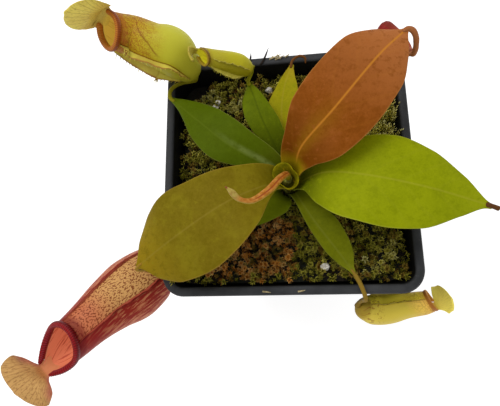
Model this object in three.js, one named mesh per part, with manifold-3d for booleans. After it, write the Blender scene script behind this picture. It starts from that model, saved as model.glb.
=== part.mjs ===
// Potted pitcher plant: a tropical pitcher plant rooted in moss in a 9 cm square nursery pot.
// Millimetres, +Z up, +Y towards the back of the pot. The origin is the centre of the pot's underside.

import * as THREE from "three";
import Module from "manifold-3d";

const wasm = await Module();
wasm.setup();

// Driving dimensions

const GAP = 0.3; // clearance kept between pieces that touch
const BLADE = 0.7; // thickness of a leaf blade away from its midrib

const POT = {
  rimSide: 90,
  height: 90,
  baseSide: 64,
  neckSide: 85.6,
  collarHeight: 7,
  lipWidth: 3.3,
  wall: 1.3,
  floor: 2,
  rimCorner: 8,
  baseCorner: 6,
  holeRadius: 3.5,
  holeReach: 21,
};

const STEM = { x: 1.3, y: -6.4, radius: 2.3, bottom: 56, top: 97.2 };
const MEDIUM = { top: 78 };
const MOSS = { level: 81.2, nearRise: 5.5, edgeDrop: 2.6, lump: 1.1, stemHole: 4.7 };

const SHEATH = { radius: STEM.radius + GAP + BLADE / 2 + 0.12, flare: 0.8, rise: 3 };
const TENDRIL = 0.75; // radius of a tendril
const RIB = { leaf: 0.5, lid: 0.4 }; // how far a midrib stands out below the blade at its start
const RIB_TAPER = 0.6; // share of that lost by the tip
const WING = { thickness: 0.64, splay: 0.25 }; // wings lean apart by splay for each millimetre out
const BELLY_TOP = 0.35; // share of a cup's axis at which its belly ends
const SEAT = 2.5 * GAP; // how far lips and lids stand clear of the edge of the mouth
const WAVE_OFFSET = 1.3; // radians by which one margin's waves run ahead of the other's

// Each leaf runs from its sheath on the stem (the way it faces, in degrees, and its height) through the
// midrib's points to its tip. left and right are half widths at a share of its length, curl is how far
// each half bends up (in radians, at the margin), and tendril is the cord that goes on from the tip.
const LEAVES = {
  leaf_rust: {
    colour: 0x96552d,
    sheath: { faces: 45, height: 95.5 },
    midrib: [[6.1, 0.5, 109.5], [15.9, 7.7, 120.5], [28.3, 20.5, 124.5], [36.8, 29.7, 122]],
    left: [[0, 4.4], [0.1, 5.2], [0.22, 6.6], [0.4, 11.4], [0.58, 13], [0.76, 11.8], [0.9, 7.5], [1, 0.8]],
    right: [[0, 4], [0.1, 4.6], [0.22, 7.4], [0.4, 11.4], [0.55, 11.9], [0.74, 10.7], [0.9, 5.8], [1, 0.8]],
    curl: [[0, 1.75], [0.12, 1.1], [0.26, 0.35], [0.6, -0.16], [1, -0.3]],
    wave: { height: 0.5, turns: 3 },
    tendril: {
      path: [[34.8, 27.6, 122.6], [36.8, 29.9, 122.2], [38.6, 29.7, 122.2], [40.3, 28.3, 120.5],
        [41.2, 26.9, 117.5], [41.2, 26.5, 114.8], [40.9, 27.6, 112.6]],
    },
  },
  leaf_bright: {
    colour: 0x7f9410,
    sheath: { faces: -12, height: 91 },
    midrib: [[12.8, -7.3, 106], [24.7, -10.4, 112], [41.7, -15.4, 113], [60.8, -20.2, 106]],
    left: [[0, 2.6], [0.14, 3.4], [0.3, 6.8], [0.42, 12.2], [0.55, 13.4], [0.7, 11.9], [0.85, 6.7], [1, 0.8]],
    right: [[0, 2.6], [0.12, 4.4], [0.25, 10.6], [0.4, 13.9], [0.52, 14.2], [0.7, 12], [0.86, 5.6], [1, 0.8]],
    curl: [[0, 1], [0.15, 0.5], [0.4, 0.12], [0.7, -0.2], [1, -0.3]],
    wave: { height: 0.5, turns: 2.5 },
    tendril: { path: [[58.6, -19.6, 107], [60.8, -20.2, 106.2], [62.6, -20.8, 105.6]] },
  },
  leaf_olive: {
    colour: 0x6f6216,
    sheath: { faces: 207, height: 93.5 },
    midrib: [[-8, -10.9, 105], [-20, -17.4, 109.5], [-36, -26.5, 105.5], [-51.1, -34.8, 97]],
    left: [[0, 2.6], [0.1, 4.6], [0.3, 10.3], [0.46, 14.6], [0.6, 15.6], [0.78, 13.6], [0.92, 8], [1, 0.8]],
    right: [[0, 2.8], [0.1, 6.4], [0.3, 9.9], [0.5, 13.1], [0.65, 14.8], [0.8, 13.3], [0.92, 7.8], [1, 0.8]],
    curl: [[0, 1], [0.12, 0.5], [0.35, 0.1], [0.7, -0.25], [1, -0.4]],
    wave: { height: 0.6, turns: 3 },
    tendril: {
      path: [[-48.9, -33.6, 98.3], [-51.3, -34.9, 96.6], [-52.4, -35.4, 92], [-51.6, -34.4, 80],
        [-49, -31.6, 66], [-47.3, -29.3, 55.5], [-48.4, -29.1, 50.6], [-51, -30.3, 50.3], [-53.25, -31.7, 51.8]],
    },
  },
  leaf_dark: {
    colour: 0x465f0e,
    sheath: { faces: 142, height: 90.2 },
    midrib: [[-7.2, -0.5, 97.5], [-18.3, 5.5, 101.5], [-30, 16, 100.5], [-41.5, 27.7, 95]],
    left: [[0, 2.6], [0.12, 3.4], [0.3, 4.6], [0.48, 7.3], [0.62, 6.3], [0.78, 3.2], [0.9, 1.4], [1, 0.8]],
    right: [[0, 2.6], [0.12, 5.4], [0.3, 7.4], [0.45, 8.5], [0.62, 8], [0.8, 5.6], [0.9, 3.2], [1, 0.8]],
    curl: [[0, 1], [0.2, 0.4], [0.5, 0], [1, -0.3]],
    wave: { height: 0.4, turns: 2 },
    tendril: {
      path: [[-39.8, 26, 96], [-41.6, 27.8, 95.4], [-42, 30.4, 95], [-41, 33.4, 93.4], [-38.7, 35.8, 91.4],
        [-35.8, 36.8, 90.3], [-33.7, 37, 90.6]],
    },
  },
  leaf_mid: {
    colour: 0x557310,
    sheath: { faces: 106, height: 84.8 },
    midrib: [[-0.6, 1.6, 91.5], [-6.8, 15.2, 97], [-10, 25, 97.5], [-12, 31.5, 95]],
    left: [[0, 2.6], [0.25, 2.6], [0.4, 2.8], [0.55, 4.8], [0.68, 5.4], [0.8, 4.8], [0.92, 2.4], [1, 0.8]],
    right: [[0, 2.6], [0.25, 4.1], [0.42, 5.2], [0.55, 5.5], [0.7, 4.6], [0.82, 3.4], [0.92, 2], [1, 0.8]],
    curl: [[0, 1], [0.25, 0.3], [0.6, -0.1], [1, -0.3]],
    wave: { height: 0.3, turns: 2 },
    tendril: {
      path: [[-11.5, 30, 95.8], [-12.1, 31.8, 95], [-12, 33.4, 94.8], [-10.9, 35.2, 95.6],
        [-10.4, 36.4, 97.2]],
    },
  },
  leaf_yellow: {
    colour: 0x969614,
    sheath: { faces: 84, height: 80 },
    midrib: [[0.4, 3.6, 87], [-0.4, 17.7, 92.5], [0.8, 29, 93], [4.2, 39.5, 92]],
    left: [[0, 2.4], [0.25, 2.6], [0.42, 6], [0.52, 6.8], [0.66, 5], [0.8, 2.8], [0.9, 1.6], [1, 0.8]],
    right: [[0, 2.4], [0.25, 2.9], [0.42, 5], [0.58, 6.4], [0.7, 6], [0.82, 4.6], [0.92, 2.2], [1, 0.8]],
    curl: [[0, 1], [0.25, 0.3], [0.6, 0], [1, 0.2]],
    wave: { height: 0.4, turns: 2.5 },
    tendril: {
      path: [[3.6, 38, 92.4], [4.4, 40.6, 92.8], [6.8, 42, 93.2], [9, 41.4, 92.8], [9.2, 39.8, 91.6]],
    },
  },
  leaf_low_right: {
    colour: 0x55730f,
    sheath: { faces: -58, height: 86 },
    midrib: [[4.2, -11, 91], [9.5, -21, 95.5], [16.2, -30.7, 95.5], [21.6, -38.1, 92]],
    left: [[0, 2.6], [0.2, 3.8], [0.4, 5.5], [0.55, 6.3], [0.7, 5.6], [0.85, 3.9], [1, 0.8]],
    right: [[0, 2.4], [0.2, 2], [0.4, 2.6], [0.55, 3.1], [0.7, 3.3], [0.85, 2.4], [1, 0.8]],
    curl: [[0, 1], [0.25, 0.5], [0.6, 0.2], [1, 0.2]],
    wave: { height: 0.3, turns: 2 },
    tendril: {
      path: [[20.6, -36.8, 92.6], [22.2, -39.2, 91.8], [23.6, -42.2, 91.7], [24.6, -45.2, 91.3],
        [25.2, -46.9, 88.6], [25.2, -47.2, 83], [24.6, -47.9, 78], [24.2, -48.9, 75.6]],
    },
  },
  leaf_hidden: {
    colour: 0x3f5a10,
    sheath: { faces: 212, height: 82 },
    midrib: [[-4, -9.8, 88.5], [-9.5, -13.2, 91.5], [-16, -17.5, 91], [-22, -21.5, 88.5]],
    left: [[0, 2.6], [0.2, 4.6], [0.5, 5.4], [0.8, 3.8], [1, 0.8]],
    right: [[0, 2.6], [0.2, 4.4], [0.5, 5.2], [0.8, 3.6], [1, 0.8]],
    curl: [[0, 1], [0.3, 0.3], [1, -0.2]],
    wave: { height: 0.3, turns: 1.5 },
  },
};

// The newest leaf is still rolled: a spindle with a groove where its margins meet, ending in a bud.
const NEW_LEAF = {
  colour: 0xc8783c,
  path: [[1.3, -6.2, 98], [1.1, -6.6, 104], [-1, -9.8, 110.5], [-4, -14.6, 116], [-8.2, -18.6, 121],
    [-11.4, -18.9, 124.4], [-13.3, -17.2, 126.6], [-14.6, -16.2, 128.4]],
  radius: [[0, 1.1], [0.2, 1.2], [0.45, 1.3], [0.68, 1.05], [0.82, 0.8], [0.92, 1.1], [0.965, 0.6], [1, 0.4]],
  groove: 0.28,
};

// Each open pitcher is a cup on a curved axis from its base to the back of its mouth. front is the side
// of the low edge of the mouth; oblique is the share of the axis by which that edge falls short of the
// back. The two wings stand at middle plus and minus angle from the front, in radians. The lip is the
// ring round the mouth and the lid grows at its back.
const PITCHERS = {
  pitcher_red: {
    cup: { colour: 0xc07a5a, around: 22, along: 10 },
    axis: [[-53.6, -31.9, 52], [-60.6, -36, 58.6], [-66.3, -41.9, 64.8], [-71.6, -47.4, 70.9],
      [-76.8, -53.9, 76.9], [-85.3, -62.7, 80], [-91.4, -69.5, 84.3]],
    front: [0.28, 0.31, 0.85],
    radius: [[0, 1.4], [0.04, 6], [0.15, 12.2], [0.32, 13.4], [0.5, 11.4], [0.68, 9.7], [0.8, 9.3], [0.9, 8.4],
      [1, 6.8]],
    wall: 1,
    oblique: 0.278,
    pinch: 0.317,
    wings: { middle: 0, angle: 0.57, from: 0.1, to: 0.74, width: 1.8, tooth: 1, teeth: 12 },
    lip: { colour: 0x64101c, wide: 1.15, high: 0.9, ribs: 20, sides: 6, open: 0.7 },
    lid: {
      colour: 0xb89a6a,
      midrib: [[0, 0], [1.6, 0.4], [5.4, 0.8], [8, 3], [10, 5.4]],
      half: [[0, 3], [0.12, 4.9], [0.3, 9.8], [0.52, 11.5], [0.76, 10.6], [0.92, 6.3], [1, 0.7]],
      curl: [[0, 0.5], [0.3, 0.1], [1, -0.3]],
      tilt: -0.47,
    },
  },
  pitcher_green: {
    cup: { colour: 0xa5a33a, around: 18, along: 9 },
    axis: [[-33.1, 37.1, 91.8], [-35.9, 39.8, 97.8], [-39.5, 42.3, 103], [-45.2, 43.8, 105.2],
      [-53.4, 47, 107], [-56.1, 46.7, 110.3], [-59.2, 46.7, 113.9]],
    front: [0.05, -0.98, 0.15],
    radius: [[0, 1.5], [0.05, 3.9], [0.18, 6.8], [0.35, 8.6], [0.55, 7.6], [0.78, 7.4], [0.9, 5.1], [1, 5.5]],
    wall: 1,
    oblique: 0.124,
    wings: { middle: -0.28, angle: 0.46, from: 0.1, to: 0.82, width: 2.6, tooth: 1.4, teeth: 10 },
    lip: { colour: 0x7d3a1e, wide: 1, high: 0.8, ribs: 16, sides: 6, open: 0.84 },
    lid: {
      colour: 0xb09a3e,
      midrib: [[0, 0], [1.3, 0.9], [5.6, -0.6], [11, -0.9], [14.4, -1.1]],
      half: [[0, 3.5], [0.12, 5.8], [0.3, 8.2], [0.55, 8.2], [0.78, 6.3], [0.93, 2.7], [1, 0.6]],
      curl: [[0, 0.6], [0.4, 0.2], [1, -0.2]],
      tilt: 0.29,
    },
  },
  pitcher_small: {
    cup: { colour: 0x9c9a34, around: 12, along: 7 },
    axis: [[-10.9, 34.4, 97.6], [-13.3, 35.1, 100.4], [-16.8, 35.4, 102.8], [-21.3, 35.6, 105.4],
      [-27, 36, 108.9]],
    front: [0.2, -0.92, 0.33],
    radius: [[0, 0.9], [0.08, 2.6], [0.3, 4.1], [0.55, 3.7], [0.8, 3], [1, 2.6]],
    wall: 0.7,
    oblique: 0.18,
    wings: { middle: 0, angle: 0.5, from: 0.14, to: 0.78, width: 1.3, tooth: 0.9, teeth: 8 },
    lip: { colour: 0x6e4a1c, wide: 0.6, high: 0.5, ribs: 12, sides: 5, open: 0.75 },
    lid: {
      colour: 0xb3ab4c,
      midrib: [[0, 0], [1.6, 0.6], [3.2, 0], [4.6, -1.6], [5.2, -3.8]],
      half: [[0, 1], [0.2, 1.4], [0.45, 2.9], [0.75, 2.6], [1, 0.9]],
      curl: [[0, 0.6], [0.4, 0.2], [1, 0]],
    },
  },
  pitcher_low: {
    cup: { colour: 0xae9440, around: 14, along: 8 },
    axis: [[24.9, -49.6, 74.6], [27.4, -50.4, 73], [33.2, -50.9, 72], [40.1, -49.6, 73.5], [45.3, -48.8, 75],
      [50.7, -48.2, 75.5]],
    front: [-0.3, 0.71, 0.64],
    radius: [[0, 1.1], [0.06, 3.4], [0.22, 5.3], [0.42, 5.3], [0.7, 4.4], [0.88, 4.1], [1, 3.4]],
    wall: 0.9,
    oblique: 0.13,
    wings: { middle: 0, angle: 0.46, from: 0.12, to: 0.74, width: 1.6, tooth: 0.9, teeth: 9 },
    lip: { colour: 0x8c3a20, wide: 0.9, high: 0.6, ribs: 14, sides: 5, open: 0.7 },
    lid: {
      colour: 0x9fa03c,
      midrib: [[0, 0], [1.8, 0.2], [4.2, -3], [5.4, -5.7], [6.9, -8.6]],
      half: [[0, 0.8], [0.18, 1.6], [0.42, 6], [0.65, 4.7], [0.88, 2.3], [1, 0.6]],
      curl: [[0, 0.6], [0.4, 0.2], [1, 0]],
      tilt: -0.23,
    },
  },
};

const YOUNG_PITCHER = {
  colour: 0x9a2c2e,
  path: [[40.9, 28.6, 111.9], [40.2, 31.4, 110.5], [38, 35.2, 109.3], [35.2, 38.4, 109], [33.2, 40.4, 109.3]],
  radius: [[0, 0.9], [0.3, 1.7], [0.6, 2.5], [0.85, 2.8], [1, 2]],
};

// Curves and profiles

const point = ([x, y, z]) => new THREE.Vector3(x, y, z);

function curveThrough(points) {
  return new THREE.CatmullRomCurve3(points.map(point), false, "catmullrom", 0.5);
}

// A smooth value along a piece, through [share, value] stations and never past them.
function profile(stations) {
  const slopes = stations.map((station, k) => {
    if (k === 0 || k === stations.length - 1) return 0;
    const before = (station[1] - stations[k - 1][1]) / (station[0] - stations[k - 1][0]);
    const after = (stations[k + 1][1] - station[1]) / (stations[k + 1][0] - station[0]);
    return before * after > 0 ? (2 * before * after) / (before + after) : 0;
  });
  return (share) => {
    let k = 0;
    while (k < stations.length - 2 && share > stations[k + 1][0]) k++;
    const [from, to] = [stations[k], stations[k + 1]];
    const span = to[0] - from[0];
    const t = Math.min(Math.max((share - from[0]) / span, 0), 1);
    const ease = t * t * (3 - 2 * t);
    const lean = t * (1 - t) * span;
    return from[1] + (to[1] - from[1]) * ease + lean * ((1 - t) * slopes[k] - t * slopes[k + 1]);
  };
}

// The part of a vector square to a tangent, at unit length.
function across(vector, tangent) {
  return vector.clone().addScaledVector(tangent, -vector.dot(tangent)).normalize();
}

// Closed surfaces

function solidOf(points, triangles) {
  let volume = 0;
  for (const [a, b, c] of triangles) volume += points[a].dot(points[b].clone().cross(points[c]));
  const outward = volume > 0 ? triangles : triangles.map(([a, b, c]) => [a, c, b]);
  const vertProperties = new Float32Array(points.flatMap((p) => [p.x, p.y, p.z]));
  const triVerts = new Uint32Array(outward.flat());
  return new wasm.Manifold(new wasm.Mesh({ numProp: 3, vertProperties, triVerts }));
}

// A closed skin through rings of equal length. A ring of one point closes an end.
function skin(rings) {
  const points = rings.flat();
  const triangles = [];
  let start = 0;
  for (let k = 0; k + 1 < rings.length; k++) {
    const next = start + rings[k].length;
    const count = Math.max(rings[k].length, rings[k + 1].length);
    const [pointedHere, pointedNext] = [rings[k].length === 1, rings[k + 1].length === 1];
    for (let i = 0; i < count; i++) {
      const j = (i + 1) % count;
      if (!pointedHere) triangles.push([start + i, start + j, pointedNext ? next : next + i]);
      if (!pointedNext) triangles.push([pointedHere ? start : start + j, next + j, next + i]);
    }
    start = next;
  }
  return solidOf(points, triangles);
}

// A closed sheet between two grids of points, split into triangles alike on both faces.
function sheet(upper, lower) {
  const rows = upper.length;
  const columns = upper[0].length;
  const points = [...upper.flat(), ...lower.flat()];
  const at = (face, r, c) => face * rows * columns + r * columns + c;
  const triangles = [];
  const quad = (a, b, c, d) => triangles.push([a, b, c], [a, c, d]);
  for (let r = 0; r + 1 < rows; r++) {
    for (let c = 0; c + 1 < columns; c++) {
      quad(at(0, r, c), at(0, r + 1, c), at(0, r + 1, c + 1), at(0, r, c + 1));
      triangles.push([at(1, r, c), at(1, r + 1, c + 1), at(1, r + 1, c)]);
      triangles.push([at(1, r, c), at(1, r, c + 1), at(1, r + 1, c + 1)]);
    }
    quad(at(0, r, 0), at(1, r, 0), at(1, r + 1, 0), at(0, r + 1, 0));
    const c = columns - 1;
    quad(at(0, r, c), at(0, r + 1, c), at(1, r + 1, c), at(1, r, c));
  }
  for (let c = 0; c + 1 < columns; c++) {
    quad(at(0, 0, c), at(0, 0, c + 1), at(1, 0, c + 1), at(1, 0, c));
    const r = rows - 1;
    quad(at(0, r, c), at(1, r, c), at(1, r, c + 1), at(0, r, c + 1));
  }
  return solidOf(points, triangles);
}

// A round cord along a path, with the radius given at each share of its length.
function cord(path, radiusAt, steps, sides, groove = 0) {
  const curve = curveThrough(path);
  let side = new THREE.Vector3(0.3, 0.2, 1);
  const rings = [];
  for (let k = 0; k <= steps; k++) {
    const tangent = curve.getTangentAt(k / steps);
    side = across(side, tangent);
    const other = tangent.clone().cross(side);
    const centre = curve.getPointAt(k / steps);
    const ring = [];
    for (let i = 0; i < sides; i++) {
      const angle = (i / sides) * 2 * Math.PI;
      const reach = radiusAt(k / steps) * (i === 0 ? 1 - groove : 1);
      ring.push(centre.clone().addScaledVector(side, reach * Math.cos(angle))
        .addScaledVector(other, reach * Math.sin(angle)));
    }
    rings.push(ring);
  }
  return skin([[curve.getPointAt(0)], ...rings, [curve.getPointAt(1)]]);
}

// A thin blade along a midrib. Across it, each half follows an arc that has bent by curl at its margin.
function blade({ curve, left, right, curl, wave, thickness, rib, rows, columns, sideAt }) {
  const upper = [];
  const lower = [];
  for (let r = 0; r <= rows; r++) {
    const share = r / rows;
    const tangent = curve.getTangentAt(share);
    const side = across(sideAt(share), tangent);
    const up = tangent.clone().cross(side);
    const centre = curve.getPointAt(share);
    const bend = curl(share);
    const upperRow = [];
    const lowerRow = [];
    for (const u of columns) {
      const half = u < 0 ? right(share) : left(share);
      const turn = Math.abs(u) * bend;
      const radius = Math.abs(bend) > 0.01 ? half / bend : 0;
      const out = radius ? radius * Math.sin(turn) : half * Math.abs(u);
      const arch = radius ? radius * (1 - Math.cos(turn)) : 0;
      const phase = 2 * Math.PI * wave.turns * share + (u < 0 ? WAVE_OFFSET : 0);
      const lift = arch + wave.height * u * u * Math.min(1, 4 * share) * Math.sin(phase);
      const hand = Math.sign(u);
      const surface = centre.clone().addScaledVector(side, hand * out).addScaledVector(up, lift);
      const normal = up.clone().multiplyScalar(Math.cos(turn)).addScaledVector(side, -hand * Math.sin(turn));
      const keel = u === 0 ? rib * (1 - RIB_TAPER * share) : 0;
      upperRow.push(surface.clone().addScaledVector(normal, thickness / 2));
      lowerRow.push(surface.clone().addScaledVector(normal, -thickness / 2 - keel));
    }
    upper.push(upperRow);
    lower.push(lowerRow);
  }
  return sheet(upper, lower);
}

function extrudedAlongZ(shape, bottom, height) {
  const geometry = new THREE.ExtrudeGeometry(shape, { depth: height, bevelEnabled: false, steps: 1 });
  geometry.translate(0, 0, bottom);
  return manifoldOf(geometry);
}

function manifoldOf(geometry) {
  const position = geometry.getAttribute("position");
  const points = [];
  const seen = new Map();
  const place = [];
  for (let i = 0; i < position.count; i++) {
    const p = new THREE.Vector3().fromBufferAttribute(position, i);
    const key = [p.x, p.y, p.z].map((value) => value.toFixed(4)).join();
    if (!seen.has(key)) seen.set(key, points.push(p) - 1);
    place.push(seen.get(key));
  }
  const order = geometry.index ? Array.from(geometry.index.array, (i) => place[i]) : place;
  const triangles = [];
  for (let i = 0; i < order.length; i += 3) {
    const [a, b, c] = order.slice(i, i + 3);
    if (a !== b && b !== c && c !== a) triangles.push([a, b, c]);
  }
  return solidOf(points, triangles);
}

function post(x, y, radius, bottom, top, sides) {
  const geometry = new THREE.CylinderGeometry(radius, radius, top - bottom, sides);
  geometry.rotateX(Math.PI / 2);
  geometry.translate(x, y, (top + bottom) / 2);
  return manifoldOf(geometry);
}

// Pot, medium and moss

function roundedSquare(half, corner, z, steps = 5) {
  const ring = [];
  for (let quarter = 0; quarter < 4; quarter++) {
    const x = (half - corner) * (quarter === 0 || quarter === 3 ? 1 : -1);
    const y = (half - corner) * (quarter < 2 ? 1 : -1);
    for (let k = 0; k <= steps; k++) {
      const angle = ((quarter + k / steps) * Math.PI) / 2;
      ring.push(new THREE.Vector3(x + corner * Math.cos(angle), y + corner * Math.sin(angle), z));
    }
  }
  return ring;
}

// Half the outer width of the tapered wall at a height.
function wallHalf(z) {
  return (POT.baseSide + (POT.neckSide - POT.baseSide) * (z / (POT.height - POT.collarHeight))) / 2;
}

function wallCorner(z) {
  return POT.baseCorner + (POT.rimCorner - POT.baseCorner) * (z / POT.height);
}

function potSolid() {
  const collar = POT.height - POT.collarHeight;
  const outer = (z) => roundedSquare(wallHalf(z), wallCorner(z), z);
  const inner = (z) => roundedSquare(wallHalf(z) - POT.wall, wallCorner(z) - POT.wall, z);
  const rim = POT.rimSide / 2;
  const mouth = rim - POT.lipWidth;
  const body = skin([
    [new THREE.Vector3(0, 0, 0)],
    roundedSquare(POT.baseSide / 2 - 1.2, POT.baseCorner - 1, 0),
    outer(1.2),
    outer(collar / 2),
    outer(collar),
    roundedSquare(rim - 0.5, POT.rimCorner - 0.4, collar),
    roundedSquare(rim, POT.rimCorner, collar + 1),
    roundedSquare(rim, POT.rimCorner, POT.height - 0.9),
    roundedSquare(rim - 0.7, POT.rimCorner - 0.5, POT.height),
    roundedSquare(mouth + 0.4, POT.rimCorner - POT.lipWidth + 0.4, POT.height),
    roundedSquare(mouth, POT.rimCorner - POT.lipWidth, POT.height - 0.6),
    inner(collar - 1),
    inner(POT.floor + 1),
    roundedSquare(wallHalf(0) - POT.wall - 0.8, POT.baseCorner - POT.wall, POT.floor),
    [new THREE.Vector3(0, 0, POT.floor)],
  ]);
  const holes = [];
  for (let k = 0; k < 8; k++) {
    const angle = (k * Math.PI) / 4;
    const reach = k % 2 ? POT.holeReach * 1.2 : POT.holeReach;
    holes.push(post(reach * Math.cos(angle), reach * Math.sin(angle), POT.holeRadius, -1, POT.floor + 1, 10));
  }
  return holes.reduce((pot, hole) => pot.subtract(hole), body);
}

const insideHalf = (z) => wallHalf(z) - POT.wall - GAP;

function mediumSolid() {
  const levels = [POT.floor + GAP + 1, (POT.floor + MEDIUM.top) / 2, MEDIUM.top];
  const rings = levels.map((z) => roundedSquare(insideHalf(z), wallCorner(z) - POT.wall - GAP, z));
  const bottom = POT.floor + GAP;
  const block = skin([
    [new THREE.Vector3(0, 0, bottom)],
    roundedSquare(insideHalf(0) - 0.8, POT.baseCorner - POT.wall - GAP, bottom),
    ...rings,
    [new THREE.Vector3(0, 0, MEDIUM.top)],
  ]);
  return block.subtract(post(STEM.x, STEM.y, STEM.radius + GAP, STEM.bottom - GAP, MEDIUM.top + 1, 14));
}

// The height of the moss: it swells to the rim at the near side and rolls in soft lumps.
function mossHeight(x, y, share) {
  const near = Math.max(0, -y / (POT.rimSide / 2));
  const lumps = Math.sin(0.42 * x + 1.1) * Math.cos(0.36 * y - 0.4) + 0.7 * Math.sin(0.83 * x - 0.55 * y)
    + 0.6 * Math.cos(0.21 * x + 0.78 * y + 2);
  const rise = MOSS.nearRise * near ** 3;
  const drop = MOSS.edgeDrop * share ** 6 * (1 - near);
  return MOSS.level + rise - drop + MOSS.lump * lumps * (1 - share ** 8);
}

function mossCarpet() {
  const bottom = MEDIUM.top + GAP;
  const steps = 10;
  const edge = roundedSquare(insideHalf(bottom), wallCorner(bottom) - POT.wall - GAP, 0, 7);
  const ringAt = (share, height) => edge.map((p) => {
    const [x, y] = [p.x * share, p.y * share];
    return new THREE.Vector3(x, y, height(x, y, share));
  });
  const tops = Array.from({ length: steps }, (_, k) => ringAt((k + 1) / steps, mossHeight)).reverse();
  return skin([
    [new THREE.Vector3(0, 0, bottom)],
    ringAt(1, () => bottom),
    ...tops,
    [new THREE.Vector3(0, 0, mossHeight(0, 0, 0))],
  ]).subtract(post(STEM.x, STEM.y, MOSS.stemHole, bottom - 1, POT.height, 14));
}

// Patches of moss of another colour: outlines on the carpet, each grown a little higher than the rest.
const MOSS_PATCHES = {
  moss_orange: {
    colour: 0x9a5a28,
    lift: 0.9,
    outline: [[-30, -36], [-25, -24], [-9, -15.5], [0, -18], [3.5, -28], [0, -38.6], [-14, -39.4],
      [-26, -39.2]],
  },
  moss_pale: {
    colour: 0x9db53a,
    lift: 0.8,
    outline: [[30, 10], [32, 21], [37, 27], [39.6, 22], [39.6, 10], [36, 4]],
  },
};

function patchShape(outline, grow) {
  const corners = outline.map(([x, y]) => new THREE.Vector3(x, y, 0));
  const centre = middleOf(corners);
  const grown = corners.map((corner) => {
    const away = corner.clone().sub(centre);
    return away.setLength(away.length() + grow).add(centre);
  });
  const rounded = new THREE.CatmullRomCurve3(grown, true).getPoints(3 * outline.length).slice(0, -1);
  return new THREE.Shape(rounded.map(({ x, y }) => new THREE.Vector2(x, y)));
}

// Leaves

const BLADE_COLUMNS = [-1, -0.58, -0.14, 0, 0.14, 0.58, 1];

function sheathStart({ faces, height }) {
  const angle = THREE.MathUtils.degToRad(faces);
  const [x, y] = [Math.cos(angle), Math.sin(angle)];
  const flared = SHEATH.radius + SHEATH.flare;
  return [
    [STEM.x + SHEATH.radius * x, STEM.y + SHEATH.radius * y, height],
    [STEM.x + flared * x, STEM.y + flared * y, height + SHEATH.rise],
  ];
}

function leafSolid({ sheath, midrib, left, right, curl, wave, tendril }) {
  const points = [...sheathStart(sheath), ...midrib];
  const curve = curveThrough(points);
  const faces = THREE.MathUtils.degToRad(sheath.faces);
  const first = new THREE.Vector3(-Math.sin(faces), Math.cos(faces), 0);
  const run = curve.getPointAt(1).sub(curve.getPointAt(0)).setZ(0).normalize();
  const last = new THREE.Vector3(-run.y, run.x, 0);
  const solid = blade({
    curve,
    left: profile(left),
    right: profile(right),
    curl: profile(curl),
    wave,
    thickness: BLADE,
    rib: RIB.leaf,
    rows: 14,
    columns: BLADE_COLUMNS,
    sideAt: (share) => first.clone().lerp(last, Math.min(1, share * 3)),
  });
  if (!tendril) return solid;
  const length = curveThrough(tendril.path).getLength();
  return solid.add(cord(tendril.path, () => TENDRIL, Math.max(5, Math.round(length / 2.6)), 6));
}

// Pitchers

// The frame of a cup: the axis point, tangent, front and side vectors, and the point on a wall of the
// given radius, at share v from base to mouth and angle theta from the front. The slant of the mouth and
// the pinch, by which its back is narrower than its front, both come in above the belly.
function cupFrame({ axis, front, radius, oblique, pinch = 0 }) {
  const curve = curveThrough(axis);
  const radiusAt = profile(radius);
  const forward = point(front);
  const rise = (v) => THREE.MathUtils.smoothstep(v, BELLY_TOP, 1);
  const level = (v, theta) => v * (1 - oblique * ((1 + Math.cos(theta)) / 2) * rise(v));
  const at = (s) => {
    const tangent = curve.getTangentAt(s);
    const ahead = across(forward, tangent);
    return { centre: curve.getPointAt(s), tangent, ahead, side: tangent.clone().cross(ahead) };
  };
  const wallPoint = (v, theta, offset) => {
    const s = level(v, theta);
    const { centre, ahead, side } = at(s);
    const reach = radiusAt(s) + offset;
    const narrow = 1 - pinch * ((1 - Math.cos(theta)) / 2) * rise(v);
    return centre
      .addScaledVector(ahead, reach * Math.cos(theta))
      .addScaledVector(side, narrow * reach * Math.sin(theta));
  };
  return { at, radiusAt, wallPoint };
}

function angles(count) {
  return Array.from({ length: count }, (_, i) => (i / count) * 2 * Math.PI);
}

function cupSolid(pitcher) {
  const { cup, wall, wings } = pitcher;
  const { at, radiusAt, wallPoint } = cupFrame(pitcher);
  const shares = Array.from({ length: cup.along }, (_, k) => ((k + 1) / cup.along) ** 1.15);
  const thetas = angles(cup.around);
  const ring = (v, offset) => thetas.map((theta) => wallPoint(v, theta, offset));
  const inner = shares.slice(1).reverse();
  const shell = skin([
    [at(0).centre],
    ...shares.map((v) => ring(v, 0)),
    ...inner.map((v) => ring(v, -wall)),
    [at(shares[1] * 0.7).centre],
  ]);
  const fins = [1, -1].map((hand) => {
    const theta = wings.middle + hand * wings.angle;
    const steps = wings.teeth * 2;
    const upper = [];
    const lower = [];
    for (let k = 0; k <= steps; k++) {
      const s = wings.from + (wings.to - wings.from) * (k / steps);
      const { centre, ahead, side } = at(s);
      const out = ahead.clone().multiplyScalar(Math.cos(theta)).addScaledVector(side, Math.sin(theta));
      const along = ahead.clone().multiplyScalar(-Math.sin(theta)).addScaledVector(side, Math.cos(theta));
      const taper = Math.sin(Math.PI * Math.min(1, (k + 1) / steps) ** 0.7) ** 0.5;
      const reach = wings.width * taper + (k % 2 ? wings.tooth : 0);
      const row = [-wall / 2, reach].map((offset) => centre.clone()
        .addScaledVector(out, radiusAt(s) + offset)
        .addScaledVector(along, hand * WING.splay * Math.max(0, offset)));
      upper.push(row.map((p) => p.clone().addScaledVector(along, WING.thickness / 2)));
      lower.push(row.map((p) => p.clone().addScaledVector(along, -WING.thickness / 2)));
    }
    return sheet(upper, lower);
  });
  return fins.reduce((body, fin) => body.add(fin), shell);
}

function middleOf(points) {
  return points.reduce((sum, p) => sum.addScaledVector(p, 1 / points.length), new THREE.Vector3());
}

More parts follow.
